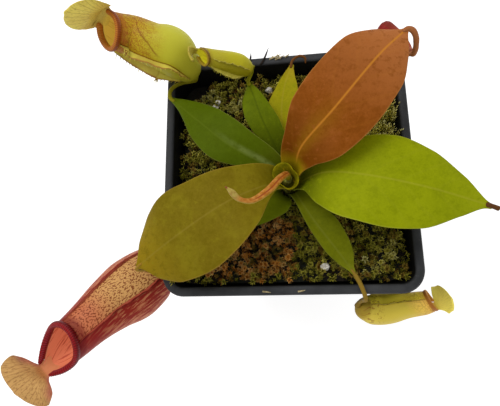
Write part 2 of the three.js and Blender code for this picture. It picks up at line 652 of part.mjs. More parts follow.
// The plane of the mouth: its centre, the way it faces, and its low front and high back edges.
function mouthPlane(pitcher) {
  const { wallPoint } = cupFrame(pitcher);
  const middle = -pitcher.wall / 2;
  const low = wallPoint(1, 0, middle);
  const high = wallPoint(1, Math.PI, middle);
  const one = wallPoint(1, Math.PI / 2, middle);
  const two = wallPoint(1, -Math.PI / 2, middle);
  const back = high.clone().sub(low).normalize();
  const facing = one.clone().sub(two).cross(back).normalize();
  const axisEnd = point(pitcher.axis.at(-1)).sub(point(pitcher.axis.at(-2)));
  if (facing.dot(axisEnd) < 0) facing.negate();
  return { centre: low.clone().add(high).multiplyScalar(0.5), facing, back, low, high };
}

function lipSolid(pitcher) {
  const { lip, wall } = pitcher;
  const { wallPoint } = cupFrame(pitcher);
  const { centre, facing } = mouthPlane(pitcher);
  const steps = lip.ribs * 2;
  const reach = Math.PI - lip.open;
  const rings = [];
  for (let k = 0; k <= steps; k++) {
    const theta = -reach + (2 * reach * k) / steps;
    const edge = wallPoint(1, theta, -wall / 2);
    const outward = across(edge.clone().sub(centre), facing);
    const end = Math.min(k, steps - k);
    const swell = (k % 2 ? 1 : 0.86) * (end === 0 ? 0.5 : 1);
    const middle = edge.addScaledVector(facing, SEAT + lip.high).addScaledVector(outward, 0.2 * lip.wide);
    rings.push(angles(lip.sides).map((angle) => middle.clone()
      .addScaledVector(outward, lip.wide * swell * Math.cos(angle))
      .addScaledVector(facing, lip.high * (0.4 + 0.6 * swell) * Math.sin(angle))));
  }
  return skin([[middleOf(rings[0])], ...rings, [middleOf(rings.at(-1))]]);
}

// The lid stands on a short neck at the back of the mouth. Its midrib is given in the plane of symmetry
// as [height above the mouth, distance back from its edge], and tilt turns it about that midrib.
function lidSolid(pitcher) {
  const { lid } = pitcher;
  const { tilt = 0 } = lid;
  const { facing, back, high } = mouthPlane(pitcher);
  const foot = high.clone().addScaledVector(facing, SEAT);
  const path = lid.midrib.map(([up, away]) => foot.clone()
    .addScaledVector(facing, up)
    .addScaledVector(back, away));
  const curve = new THREE.CatmullRomCurve3(path, false, "catmullrom", 0.5);
  const side = facing.clone().cross(back).multiplyScalar(Math.cos(tilt))
    .addScaledVector(facing, Math.sin(tilt));
  return blade({
    curve,
    left: profile(lid.half),
    right: profile(lid.half),
    curl: profile(lid.curl),
    wave: { height: 0, turns: 0 },
    thickness: BLADE,
    rib: RIB.lid,
    rows: 9,
    columns: [-1, -0.5, 0, 0.5, 1],
    sideAt: () => side.clone(),
  });
}

// Assembly

const plant = new THREE.Group();
plant.name = "potted_pitcher_plant";

function place(name, solid, colour, roughness = 0.55) {
  const mesh = solid.getMesh();
  const geometry = new THREE.BufferGeometry();
  geometry.setAttribute("position", new THREE.BufferAttribute(Float32Array.from(mesh.vertProperties), 3));
  geometry.setIndex(new THREE.BufferAttribute(Uint32Array.from(mesh.triVerts), 1));
  geometry.computeVertexNormals();
  const material = new THREE.MeshStandardMaterial({ color: colour, roughness, metalness: 0 });
  const piece = new THREE.Mesh(geometry, material);
  piece.name = name;
  plant.add(piece);
}

place("pot", potSolid(), 0x2b2c2e, 0.6);
place("growing_medium", mediumSolid(), 0x3a2a1c, 0.95);

const carpet = mossCarpet();
let background = carpet;
for (const [name, { colour, lift, outline }] of Object.entries(MOSS_PATCHES)) {
  const patch = extrudedAlongZ(patchShape(outline, 0), 0, POT.height);
  const gap = extrudedAlongZ(patchShape(outline, GAP), 0, POT.height);
  place(name, carpet.intersect(patch).translate([0, 0, lift]), colour, 0.9);
  background = background.subtract(gap);
}
place("moss_green", background, 0x44581c, 0.9);

const stemRadius = profile([[0, 0.5], [0.06, 1], [0.9, 1], [1, 0.6]].map(([s, r]) => [s, r * STEM.radius]));
const stemPath = [STEM.bottom, (STEM.bottom + STEM.top) / 2, STEM.top].map((z) => [STEM.x, STEM.y, z]);
place("stem", cord(stemPath, stemRadius, 12, 12), 0x6a6428);

for (const [name, leaf] of Object.entries(LEAVES)) place(name, leafSolid(leaf), leaf.colour, 0.45);
const rolledLeaf = cord(NEW_LEAF.path, profile(NEW_LEAF.radius), 20, 8, NEW_LEAF.groove);
place("leaf_new", rolledLeaf, NEW_LEAF.colour, 0.4);

for (const [name, pitcher] of Object.entries(PITCHERS)) {
  place(`${name}_cup`, cupSolid(pitcher), pitcher.cup.colour, 0.4);
  place(`${name}_lip`, lipSolid(pitcher), pitcher.lip.colour, 0.25);
  place(`${name}_lid`, lidSolid(pitcher), pitcher.lid.colour, 0.45);
}
const youngPitcher = cord(YOUNG_PITCHER.path, profile(YOUNG_PITCHER.radius), 9, 8);
place("pitcher_young", youngPitcher, YOUNG_PITCHER.colour, 0.4);

export default plant;
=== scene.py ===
"""Potted pitcher plant: the looks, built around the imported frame.

Lengths in the tables are millimetres, as a gardener measures, and every mesh is made in metres. +Z is up,
+Y is the back of the pot, and the origin is the middle of the pot's underside.
"""

import logging
import math
from collections.abc import Callable, Sequence
from dataclasses import dataclass
from enum import Enum

import bpy
import numpy as np
from mathutils import Matrix

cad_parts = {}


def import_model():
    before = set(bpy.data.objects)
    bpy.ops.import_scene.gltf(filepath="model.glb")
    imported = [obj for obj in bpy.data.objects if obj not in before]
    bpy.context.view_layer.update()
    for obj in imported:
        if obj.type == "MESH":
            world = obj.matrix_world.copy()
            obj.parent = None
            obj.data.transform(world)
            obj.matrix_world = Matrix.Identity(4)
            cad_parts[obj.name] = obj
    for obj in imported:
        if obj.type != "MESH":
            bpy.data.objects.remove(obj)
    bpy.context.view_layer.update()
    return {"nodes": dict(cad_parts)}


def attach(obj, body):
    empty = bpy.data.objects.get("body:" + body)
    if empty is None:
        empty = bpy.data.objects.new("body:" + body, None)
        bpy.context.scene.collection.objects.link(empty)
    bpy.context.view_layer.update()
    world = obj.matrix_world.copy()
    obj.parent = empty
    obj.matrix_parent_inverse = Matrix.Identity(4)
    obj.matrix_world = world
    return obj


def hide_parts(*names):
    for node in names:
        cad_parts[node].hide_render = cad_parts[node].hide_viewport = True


LOG = logging.getLogger("pitcher_plant")

MM = 0.001
BODY = "root"

Array = np.ndarray
Amount = Array | float
Marks = dict[str, Array]
Points = Sequence[Sequence[float]]
Stations = Sequence[tuple[float, float]]
Socket = bpy.types.NodeSocket
Material = bpy.types.Material
Colour = tuple[float, float, float, float] | Socket | str

BLACK = "000000"
WHITE = "ffffff"
EAST, NORTH, UP = np.eye(3)

# Driving dimensions of the pot and of what grows in it, in millimetres

RIM_SIDE = 90.0
POT_HEIGHT = 90.0
BASE_SIDE = 64.0
NECK_SIDE = 85.6
COLLAR_HEIGHT = 7.0
LIP_WIDTH = 3.3
POT_WALL = 1.3
POT_FLOOR = 2.0
RIM_CORNER = 8.0
BASE_CORNER = 6.0
DRAIN_RADIUS = 3.5
DRAIN_REACH = 21.0
CLEARANCE = 0.3
SEAT = 2.5 * CLEARANCE
MEDIUM_TOP = 78.0
STEM_FOOT = (1.3, -6.4)
STEM_RADIUS = 2.3
STEM_SPAN = (56.0, 97.2)
BLADE = 0.7
TENDRIL_RADIUS = 0.75

# How cords, moss and mouths are made. A groove's width is the sine of half an angle, and a slant starts and ends
# at shares of the wall.

TINY = 1e-9
CORD_SIDE = np.array([0.3, 0.2, 1.0])
GROOVE_WIDTH = 0.28
GOLDEN_ANGLE = math.radians(137.5)
SLANT = (0.35, 1.0)


# Lines, profiles and meshes


def unit(vectors: Array) -> Array:
    """Each vector divided by its length."""
    return vectors / np.maximum(np.linalg.norm(vectors, axis=-1, keepdims=True), TINY)


def square_to(vectors: Array, axes: Array) -> Array:
    """The part of each vector at right angles to a unit axis, at unit length.

    Args:
        vectors: the vectors, or one vector for all axes.
        axes: unit vectors.

    Returns:
        vector minus (vector . axis) times axis, divided by its length.
    """
    vectors = np.broadcast_to(vectors, axes.shape)
    return unit(vectors - np.sum(vectors * axes, axis=-1, keepdims=True) * axes)


def turned(angle: Amount, first: Array, second: Array) -> Array:
    """first cos(angle) + second sin(angle), the way that lies at an angle from the first of two square axes."""
    angle = np.asarray(angle)[..., None]
    return np.cos(angle) * first + np.sin(angle) * second


def circle(count: int) -> Array:
    """So many even angles round a circle, from 0."""
    return np.linspace(0, 2 * math.pi, count, endpoint=False)


def half_turns(count: int) -> Array:
    """The same angles in half turns, in a row: from 0 up to 1, and on from -1."""
    turn = np.linspace(0, 2, count, endpoint=False)
    return np.where(turn > 1, turn - 2, turn)[None]


def smooth(values: Array, low: float, high: float) -> Array:
    """0 below low, 1 above high and 3t^2 - 2t^3 between them."""
    t = np.clip((values - low) / (high - low), 0, 1)
    return t * t * (3 - 2 * t)


def eased(stations: Stations, shares: Array) -> Array:
    """A smooth profile through stations that never swings past them.

    Between two stations it is a cubic. Its slope at a station is the harmonic mean of the slopes on both
    sides, or zero where they disagree in sign.

    Args:
        stations: (share, value) pairs in rising order of share.
        shares: where to read the profile.

    Returns:
        The value at each share.
    """
    x, y = np.array(stations, float).T
    rise = np.diff(y) / np.diff(x)
    slope = np.zeros(len(x))
    agree = rise[:-1] * rise[1:] > 0
    total = np.where(agree, rise[:-1] + rise[1:], 1.0)
    slope[1:-1] = np.where(agree, 2 * rise[:-1] * rise[1:] / total, 0)
    k = np.clip(np.searchsorted(x, shares, side="left") - 1, 0, len(x) - 2)
    span = x[k + 1] - x[k]
    t = np.clip((shares - x[k]) / span, 0, 1)
    lean = t * (1 - t) * span
    return y[k] + (y[k + 1] - y[k]) * t * t * (3 - 2 * t) + lean * ((1 - t) * slope[k] - t * slope[k + 1])


def vectors(x: Amount, y: Amount, z: Amount, shape: tuple[int, ...]) -> Array:
    """Three fields of one shape, side by side as vectors."""
    return np.stack([np.broadcast_to(part, shape).astype(float) for part in (x, y, z)], axis=-1)


def marked(shape: tuple[int, ...], span: Sequence[Amount], ground: Sequence[Amount] = (0, 0, 0)) -> Marks:
    """The marks of a surface, each from its three fields."""
    return {"span": vectors(*span, shape), "ground": vectors(*ground, shape)}


class Course:
    """A smooth line through given points, read by the share of its length.

    Between two points it is the cubic whose slope at each point is half the step between its neighbours. The
    ends are mirrored to give the first and last slopes.
    """

    STEPS = 80

    def __init__(self, points: Points) -> None:
        """Works the line out.

        Args:
            points: points that the line passes through, in millimetres.
        """
        given = np.array(points, float) * MM
        padded = np.vstack([2 * given[0] - given[1], given, 2 * given[-1] - given[-2]])
        t = np.linspace(0, 1, self.STEPS, endpoint=False)[None, :, None]
        before, start, end, after = (padded[k:len(padded) - 3 + k, None, :] for k in range(4))
        out, into = (end - before) / 2, (after - start) / 2
        line = ((2 * t**3 - 3 * t**2 + 1) * start + (t**3 - 2 * t**2 + t) * out
                + (3 * t**2 - 2 * t**3) * end + (t**3 - t**2) * into)
        self.line = np.vstack([line.reshape(-1, 3), given[-1:]])
        steps = np.linalg.norm(np.diff(self.line, axis=0), axis=1)
        self.length = float(steps.sum())
        self.marks = np.concatenate([[0], np.cumsum(steps)]) / self.length
        self.slopes = unit(np.gradient(self.line, self.marks, axis=0))

    def read(self, rows: Array, shares: Array) -> Array:
        """Rows given at the marks, read at shares of the length."""
        return np.stack([np.interp(shares, self.marks, part) for part in rows.T], axis=-1)

    def place(self, shares: Array) -> Array:
        """The point at each share of the length."""
        return self.read(self.line, shares)

    def heading(self, shares: Array) -> Array:
        """The unit direction of travel at each share of the length."""
        return unit(self.read(self.slopes, shares))


class Shell:
    """Closed surfaces gathered into one mesh, with marks that its finish reads.

    Each mark is a vector at every point: "span" holds shares from 0 or -1 to 1, and "ground" holds
    millimetres on the surface.
    """

    MARKS = ("span", "ground")

    def __init__(self) -> None:
        """Starts with nothing in it."""
        self.points: list[Array] = []
        self.faces: list[Array] = []
        self.marks: dict[str, list[Array]] = {name: [] for name in self.MARKS}
        self.count = 0

    def add(self, points: Array, faces: Sequence[Array], marks: Marks) -> None:
        """Adds one surface, turned so that its faces point outwards.

        Args:
            points: its points, in metres.
            faces: arrays of three or four point numbers a row.
            marks: vectors at the points, by mark name. A mark that isn't there is zero.
        """
        flipped = self._volume(points, faces) < 0
        for group in faces:
            self.faces.append((group[:, ::-1] if flipped else group) + self.count)
        self.points.append(points)
        for name in self.MARKS:
            self.marks[name].append(marks.get(name, np.zeros((len(points), 3))))
        self.count += len(points)

    @staticmethod
    def _volume(points: Array, faces: Sequence[Array]) -> float:
        """Six times the signed volume, below 0 where faces point inwards: a . (b x c) over the triangles."""
        total = 0.0
        middle = points.mean(axis=0)
        for group in faces:
            for k in range(1, group.shape[1] - 1):
                a, b, c = (points[group[:, n]] - middle for n in (0, k, k + 1))
                total += float(np.sum(a * np.cross(b, c)))
        return total

    def add_rings(self, rings: Array, marks: Marks | None = None) -> "Shell":
        """Adds a skin through closed rings of points, with a point at the middle of each end ring.

        Args:
            rings: rings by points by 3, in metres.
            marks: rings by points by 3 vectors, by mark name.

        Returns:
            The shell itself.
        """
        rows, columns = rings.shape[:2]
        number = np.arange(rows * columns).reshape(rows, columns)
        right = np.roll(number, -1, axis=1)
        low, high = np.full(columns, rows * columns), np.full(columns, rows * columns + 1)
        faces = [np.stack([number[:-1], right[:-1], right[1:], number[1:]], axis=-1).reshape(-1, 4),
                 np.stack([low, right[0], number[0]], axis=-1), np.stack([high, number[-1], right[-1]], axis=-1)]
        points = np.vstack([rings.reshape(-1, 3), rings[0].mean(axis=0), rings[-1].mean(axis=0)])
        flat = {name: mark.reshape(-1, 3) for name, mark in (marks or {}).items()}
        self.add(points, faces, {name: np.vstack([mark, mark[:1], mark[-1:]]) for name, mark in flat.items()})
        return self

    def build(self, name: str, finish: "Finish", slot: str, replaces: Sequence[str] = ()) -> bpy.types.Object:
        """Makes the object, gives it its finish and lets it ride in the frame.

        Args:
            name: the object's name.
            finish: what it is dressed in.
            slot: not used.
            replaces: CAD nodes that it stands for.

        Returns:
            The object, at the origin.
        """
        mesh = bpy.data.meshes.new(name)
        faces = [row for group in self.faces for row in group.tolist()]
        mesh.from_pydata(np.vstack(self.points), [], faces)
        mesh.shade_smooth()
        for mark in self.MARKS:
            attribute = mesh.attributes.new(mark, "FLOAT_VECTOR", "POINT")
            attribute.data.foreach_set("vector", np.vstack(self.marks[mark]).astype(np.float32).ravel())
        mesh.materials.append(finish.material())
        piece = show(name, mesh)
        seat(piece, replaces)
        return piece


def show(name: str, data: bpy.types.ID) -> bpy.types.Object:
    """Puts a mesh, a light or a camera into the scene, as an object of that name."""
    shown = bpy.data.objects.new(name, data)
    bpy.context.scene.collection.objects.link(shown)
    return shown


def seat(piece: bpy.types.Object, replaces: Sequence[str]) -> None:
    """Lets a piece ride on the plant's body and reports it.

    Args:
        piece: the piece.
        replaces: CAD nodes that it stands for.
    """
    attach(piece, BODY)
    if replaces:
        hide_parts(*replaces)
    LOG.info("%s: %d faces", piece.name, len(piece.data.polygons))


def cord_rings(course: Course, radius: Array, shares: Array, sides: int, groove: float = 0.0) -> Array:
    """Rings of a round cord along a course.

    Ring k is centre + radius (side cos a + other sin a), with the two axes square to the course. A groove
    draws the points near a = 0 towards the centre.

    Args:
        course: the line that the cord follows.
        radius: its radius at each share, in millimetres.
        shares: where the rings stand.
        sides: points on a ring.
        groove: depth of the groove as a share of the radius.

    Returns:
        Rings by sides by 3, in metres.
    """
    centre, tangent = course.place(shares), course.heading(shares)
    side = square_to(CORD_SIDE, tangent)
    other = np.cross(tangent, side)
    angle = circle(sides)
    reach = radius[:, None] * MM * (1 - groove * np.exp(-(np.sin(angle / 2) / GROOVE_WIDTH) ** 2))
    return centre[:, None] + reach[..., None] * turned(angle[None], side[:, None], other[:, None])


# Shader maths


def paint(code: str) -> tuple[float, float, float, float]:
    """A colour as light: a channel is c / 12.92 up to 0.04045, else ((c + 0.055) / 1.055)^2.4.

    Args:
        code: its six figures.

    Returns:
        Red, green, blue and full cover.
    """
    parts = [int(code[k:k + 2], 16) / 255 for k in (0, 2, 4)]
    red, green, blue = (c / 12.92 if c <= 0.04045 else ((c + 0.055) / 1.055) ** 2.4 for c in parts)
    return red, green, blue, 1.0


def both_ways(operation: str) -> tuple[Callable, Callable]:
    """An operator of Value and its reflected form, so that mask - 1 and 1 - mask both work."""
    return (lambda value, other: value.join(operation, value, other),
            lambda value, other: value.join(operation, other, value))


class Value:
    """A number that varies over a surface, so that its maths is written as Python."""

    __add__, __radd__ = both_ways("ADD")
    __sub__, __rsub__ = both_ways("SUBTRACT")
    __mul__, __rmul__ = both_ways("MULTIPLY")
    __truediv__, __rtruediv__ = both_ways("DIVIDE")

    def __init__(self, shader: "Shader", socket: Socket) -> None:
        """Wraps a socket of a shader."""
        self.shader = shader
        self.socket = socket

    def join(self, operation: str, *terms: "Value | float") -> "Value":
        """One Math node on the terms."""
        node = self.shader.node("ShaderNodeMath", {"operation": operation}, dict(enumerate(terms)))
        return Value(self.shader, node.outputs[0])

    def __abs__(self) -> "Value":
        """The size of self."""
        return self.join("ABSOLUTE", self)

    def larger(self, other: "Value | float") -> "Value":
        """The larger of self and other."""
        return self.join("MAXIMUM", self, other)

    def sine(self) -> "Value":
        """The sine of self, in radians."""
        return self.join("SINE", self)

    def band(self, low: float, high: float) -> "Value":
        """A smooth step.

        Args:
            low: where it is 0. It may be above high.
            high: where it is 1.

        Returns:
            The step's value.
        """
        node = self.shader.node("ShaderNodeMapRange", {"interpolation_type": "SMOOTHSTEP"}, {
            "Value": self, "From Min": min(low, high), "From Max": max(low, high),
            "To Min": 0.0 if low < high else 1.0, "To Max": 1.0 if low < high else 0.0,
        })
        return Value(self.shader, node.outputs[0])


Term = Value | float


class Shader:
    """One material's nodes. A string stands for a colour's code wherever a colour goes."""

    def __init__(self, name: str) -> None:
        """Starts a material with a principled surface.

        Args:
            name: the material's name.
        """
        self.material = bpy.data.materials.new(name)
        self.material.use_nodes = True
        self.tree = self.material.node_tree
        self.tree.nodes.clear()
        self.surface = self.node("ShaderNodeBsdfPrincipled")
        self.node("ShaderNodeOutputMaterial", inputs={0: self.surface.outputs[0]})

    def node(self, kind: str, settings: dict[str, object] | None = None,
             inputs: dict[int | str, object] | None = None) -> bpy.types.Node:
        """Adds a node.

        Args:
            kind: the node's type.
            settings: its properties, set first.
            inputs: values or links by socket name or number.

        Returns:
            The node.
        """
        node = self.tree.nodes.new(kind)
        for name, setting in (settings or {}).items():
            setattr(node, name, setting)
        for key, given in (inputs or {}).items():
            self.feed(node.inputs[key], given)
        return node

    def feed(self, socket: Socket, given: object) -> None:
        """Links a value or a socket to a socket, or sets its constant.

        Args:
            socket: the socket that is fed.
            given: a value, a socket, a number or a colour.
        """
        source = given.socket if isinstance(given, Value) else given
        if isinstance(source, Socket):
            self.tree.links.new(source, socket)
        else:
            socket.default_value = paint(source) if isinstance(source, str) else source

    def parts(self, vector: Socket) -> tuple[Value, Value, Value]:
        """A vector's three parts."""
        node = self.node("ShaderNodeSeparateXYZ", inputs={0: vector})
        return tuple(Value(self, socket) for socket in node.outputs)

    def mark(self, name: str) -> tuple[Value, Value, Value]:
        """The three parts of a mark that the mesh carries."""
        return self.parts(self.node("ShaderNodeAttribute", {"attribute_name": name}).outputs["Vector"])

    def place(self) -> Socket:
        """The point on the object, in metres."""
        return self.node("ShaderNodeTexCoord").outputs["Object"]

    def stretched(self, x: Term, y: Term, z: Term) -> Socket:
        """A vector of three values, for a pattern to read."""
        return self.node("ShaderNodeCombineXYZ", inputs={0: x, 1: y, 2: z}).outputs[0]

    def noise(self, scale: float, detail: float = 2.0, roughness: float = 0.5,
              at: Socket | None = None) -> Value:
        """Soft noise around 0.5.

        Args:
            scale: its waves in each unit of where it is read.
            detail: how many finer layers it has.
            roughness: how strong they are.
            at: where it is read, or the point on the object.

        Returns:
            The noise.
        """
        node = self.node("ShaderNodeTexNoise", inputs={
            "Vector": at or self.place(), "Scale": scale, "Detail": detail, "Roughness": roughness,
        })
        return Value(self, node.outputs[0])

    def mix(self, factor: Term, first: Colour, second: Colour) -> Socket:
        """first where factor is 0 and second where it is 1."""
        return self.node("ShaderNodeMix", {"data_type": "RGBA"}, {0: factor, 6: first, 7: second}).outputs[2]

    def coats(self, colour: Colour, *coats: tuple[Term, Colour]) -> Colour:
        """A colour under coats of others.

        Args:
            colour: the lowest.
            *coats: (how much it covers, its colour) for each coat, upwards.

        Returns:
            What shows on top.
        """
        for factor, coat in coats:
            colour = self.mix(factor, colour, coat)
        return colour

    def relief(self, height: Value, depth: float, strength: float = 1.0) -> None:
        """Bumps the surface by a height field, depth metres deep."""
        bump = self.node("ShaderNodeBump", inputs={"Height": height, "Distance": depth, "Strength": strength})
        self.feed(self.surface.inputs["Normal"], bump.outputs[0])

    def dress(self, colour: Colour, roughness: Term, **others: Colour | float) -> Material:
        """Sets the surface.

        Args:
            colour: its base colour.
            roughness: its roughness.
            **others: its other sockets, by their names in small letters.

        Returns:
            The material.
        """
        for name, given in {"base_color": colour, "roughness": roughness, **others}.items():
            self.feed(self.surface.inputs[name.replace("_", " ").title().replace("Ior", "IOR")], given)
        return self.material


# Finishes


@dataclass(frozen=True)
class Finish:
    """What a piece is dressed in."""

    name: str

    def material(self) -> Material:
        """The finish's material, made once."""
        return bpy.data.materials.get(self.name) or self.make(Shader(self.name))

    def make(self, shader: Shader) -> Material:
        """Fills in the shader. Each kind of finish has its own.

        Args:
            shader: the material's nodes.

        Returns:
            The material.
        """
        raise NotImplementedError


@dataclass(frozen=True)
class PlasticFinish(Finish):
    """Moulded charcoal plastic with a fine grain and cloudy dust, painted near black inside as the shade in the
    pot.
    """

    body: str = "2a2b2d"
    dust: str = "3d3e40"
    scuff: str = "5a5a5a"
    # inside is painted shade: the same charcoal drawn near black where little light gets into the pot.
    inside: str = "060606"

    def make(self, shader: Shader) -> Material:
        """Charcoal with cloudy dust and a fine moulded grain.

        The inside, painted near black as the shade in the pot, is where the larger of |x| and |y| falls short of
        the inner wall's half width, which grows with height, or is below the lip.
        """
        x, y, z = shader.parts(shader.place())
        out = abs(x).larger(abs(y))
        cloud = shader.noise(90.0, 4.0, 0.6)
        grain = shader.noise(2600.0, 2.0, 0.6)
        scuff = shader.noise(700.0, 3.0, 0.7).band(0.62, 0.74)
        slope = (NECK_SIDE - BASE_SIDE) / 2 / (POT_HEIGHT - COLLAR_HEIGHT)
        base, opening = BASE_SIDE / 2, RIM_SIDE / 2 - LIP_WIDTH
        behind = (out - z * slope).band((base - 0.4) * MM, (base - 0.9) * MM)
        mouth = out.band((opening + 0.6) * MM, (opening - 0.1) * MM)
        deep = z.band((POT_HEIGHT - 0.2) * MM, (POT_HEIGHT - 1.2) * MM) * z.band(1.0 * MM, 1.8 * MM)
        colour = shader.coats(
            shader.mix(cloud.band(0.35, 0.75), self.body, self.dust),
            (scuff * 0.3, self.scuff),
            # Painted shade: the pot's inner faces are drawn near black.
            (behind.larger(mouth * deep) * deep, self.inside),
        )
        shader.relief(grain + cloud * 0.6, 0.12 * MM, 0.6)
        return shader.dress(colour, cloud * 0.2 + 0.5, specular_ior_level=0.2)


@dataclass(frozen=True)
class MossBedFinish(Finish):
    """The matted bed under the moss shoots."""

    shade: str = "070903"
    green: str = "1c2209"
    brown: str = "2a1a0b"

    def make(self, shader: Shader) -> Material:
        """Dark green and brown in patches, with a shaggy relief."""
        patch = shader.noise(110.0, 3.0)
        shag = shader.noise(1300.0, 5.0, 0.75)
        colour = shader.mix(patch.band(0.42, 0.62), self.green, self.brown)
        shader.relief(shag, 1.5 * MM)
        return shader.dress(shader.mix(shag.band(0.35, 0.6), self.shade, colour), 0.95)


@dataclass(frozen=True)
class ShootFinish(Finish):
    """Moss shoots: dark at the foot as painted shade down among them, and brighter to the tip with a painted
    highlight; each a little different.

    The mark "span" holds (draw of the shoot, share of its height, share of the leaflet). odd is the share of
    shoots in the other colour, and shade is how dark the darker patches are.
    """

    # foot is painted shade low among the shoots, and tip a painted highlight on their ends.
    foot: str = "16180a"
    middle: str = "86821a"
    tip: str = "ece064"
    other: str = "8a5c20"
    odd: float = 0.2
    shade: float = 0.4

    def make(self, shader: Shader) -> Material:
        """Mixes foot, middle and tip by height, browns an odd shoot and darkens whole patches."""
        draw, height, leaflet = shader.mark("span")
        patch = shader.noise(85.0, 3.0).band(0.44, 0.62)
        colour = shader.coats(
            # Painted shade at the foot and a painted highlight towards the tip.
            shader.mix(height.band(0.25, 0.8), self.foot, self.middle),
            ((height * 0.6 + leaflet * 0.45 + draw * 0.3).band(0.8, 1.25), self.tip),
            (draw.band(1 - self.odd - 0.06, 1 - self.odd) * 0.8, self.other),
            (patch * self.shade, shader.mix(height, self.foot, self.middle)),
        )
        return shader.dress(colour, 0.65, specular_ior_level=0.15)


@dataclass(frozen=True)
class LeafFinish(Finish):
    """A waxy leaf.

    The mark "span" holds (share across from -1 to 1, share along, 1 on the underside) and "ground" holds
    (millimetres across, millimetres along, 1 on the tendril).
    """

    blade: str
    mottle: str
    base: str
    tip: str
    patch: str
    sheath: str
    rib: str
    edge: str
    under: str
    cord: str
    mottling: float = 0.4
    patching: float = 0.4
    base_reach: float = 0.3
    tip_reach: float = 0.78
    sheath_reach: float = 0.1
    flush: str = "8e6010"
    flush_show: float = 0.0
    rib_show: float = 0.6
    # Painted sheen: this colour and the strength below it paint a pale glint beside the midrib into the base
    # colour.
    gloss: str = "7d8a48"
    painted_sheen_show: float = 0.0

    def make(self, shader: Shader) -> Material:
        """Colours the blade by zones, with a midrib, faint side veins, a pale margin, a fine mottling and a
        painted sheen beside the midrib.
        """
        across, along, under = shader.mark("span")
        wide, far, cord = shader.mark("ground")
        cloud = shader.noise(110.0, 3.0)
        speckle = shader.noise(1500.0, 3.0, 0.65)
        grain = shader.noise(420.0, 5.0, 0.72)
        veins = (far * 0.62 - abs(wide) * 0.85 + cloud * 3.0).sine()
        nerve = (abs(across) * 15.0 + cloud * 1.2).sine()
        # Painted sheen: a glint just beside the midrib on the leaf's lower part, drawn into the colour.
        gloss = abs(wide + 0.9).band(1.7, 0.1) * along.band(0.6, 0.3) * cloud.band(0.2, 0.6)
        flush = abs(across).band(0.5, 0.02) * along.band(0.62, 0.3)
        line = abs(wide).band(0.5, 0.08) * (speckle * 0.5 + 0.7)
        colour = shader.coats(
            shader.mix(speckle.band(0.38, 0.66) * self.mottling, self.blade, self.mottle),
            (cloud.band(0.45, 0.7) * self.patching, self.patch),
            (along.band(self.base_reach, self.base_reach * 0.3), self.base),
            (along.band(self.tip_reach, 1.0), self.tip),
            (gloss * self.painted_sheen_show, self.gloss),
            (flush * self.flush_show, self.flush),
            (grain.band(0.5, 0.64) * 0.5, self.mottle),
            (grain.band(0.46, 0.34) * 0.45, self.patch),
            (veins.band(0.84, 1.0) * 0.04, self.rib),
            (line * self.rib_show, self.rib),
            (abs(across).band(0.965, 0.998) * 0.6, self.edge),
            (along.band(self.sheath_reach, self.sheath_reach * 0.4), self.sheath),
            (under * 0.85, self.under),
            (cord, self.cord),
        )
        height = veins.band(0.2, 1.0) * 0.1 + nerve.band(0.7, 1.0) * 0.08 + speckle * 0.3
        shader.relief(height * (1 - cord * 0.7), 0.2 * MM, 0.6)
        return shader.dress(colour, speckle * 0.12 + cloud * 0.1 + 0.4, specular_ior_level=0.02)


@dataclass(frozen=True)
class RolledLeafFinish(Finish):
    """The rolled new leaf: peach with a red crease, and a pale bud.

    The mark "span" holds (angle from the crease from -1 to 1, share along, 0).
    """

    body: str = "aa681c"
    glow: str = "c4863c"
    crease: str = "8a3410"
    edge: str = "98892c"
    foot: str = "80780e"
    bud: str = "b09a4c"
    bud_fleck: str = "8a5a24"
    bud_tip: str = "8a4a2c"

    def make(self, shader: Shader) -> Material:
        """A red line in the crease, yellow-green on one side, and zones along the roll."""
        around, along, _ = shader.mark("span")
        streak = shader.noise(700.0, 3.0)
        crease = abs(around + 0.05).band(0.13, 0.03) * along.band(0.8, 0.68)
        bud = along.band(0.85, 0.91)
        colour = shader.coats(
            shader.mix(streak.band(0.35, 0.65), self.body, self.glow),
            (around.band(-0.28, -0.5) * 0.8, self.edge),
            (crease * (0.55 + streak * 0.6), self.crease),
            (along.band(0.25, 0.08) * abs(around).band(0.1, 0.5), self.foot),
            (bud, self.bud),
            (streak.band(0.5, 0.62) * bud * 0.45, self.bud_fleck),
            (along.band(0.975, 0.99), self.bud_tip),
        )
        shader.relief(streak, 0.1 * MM, 0.5)
        return shader.dress(colour, 0.5, specular_ior_level=0.15)


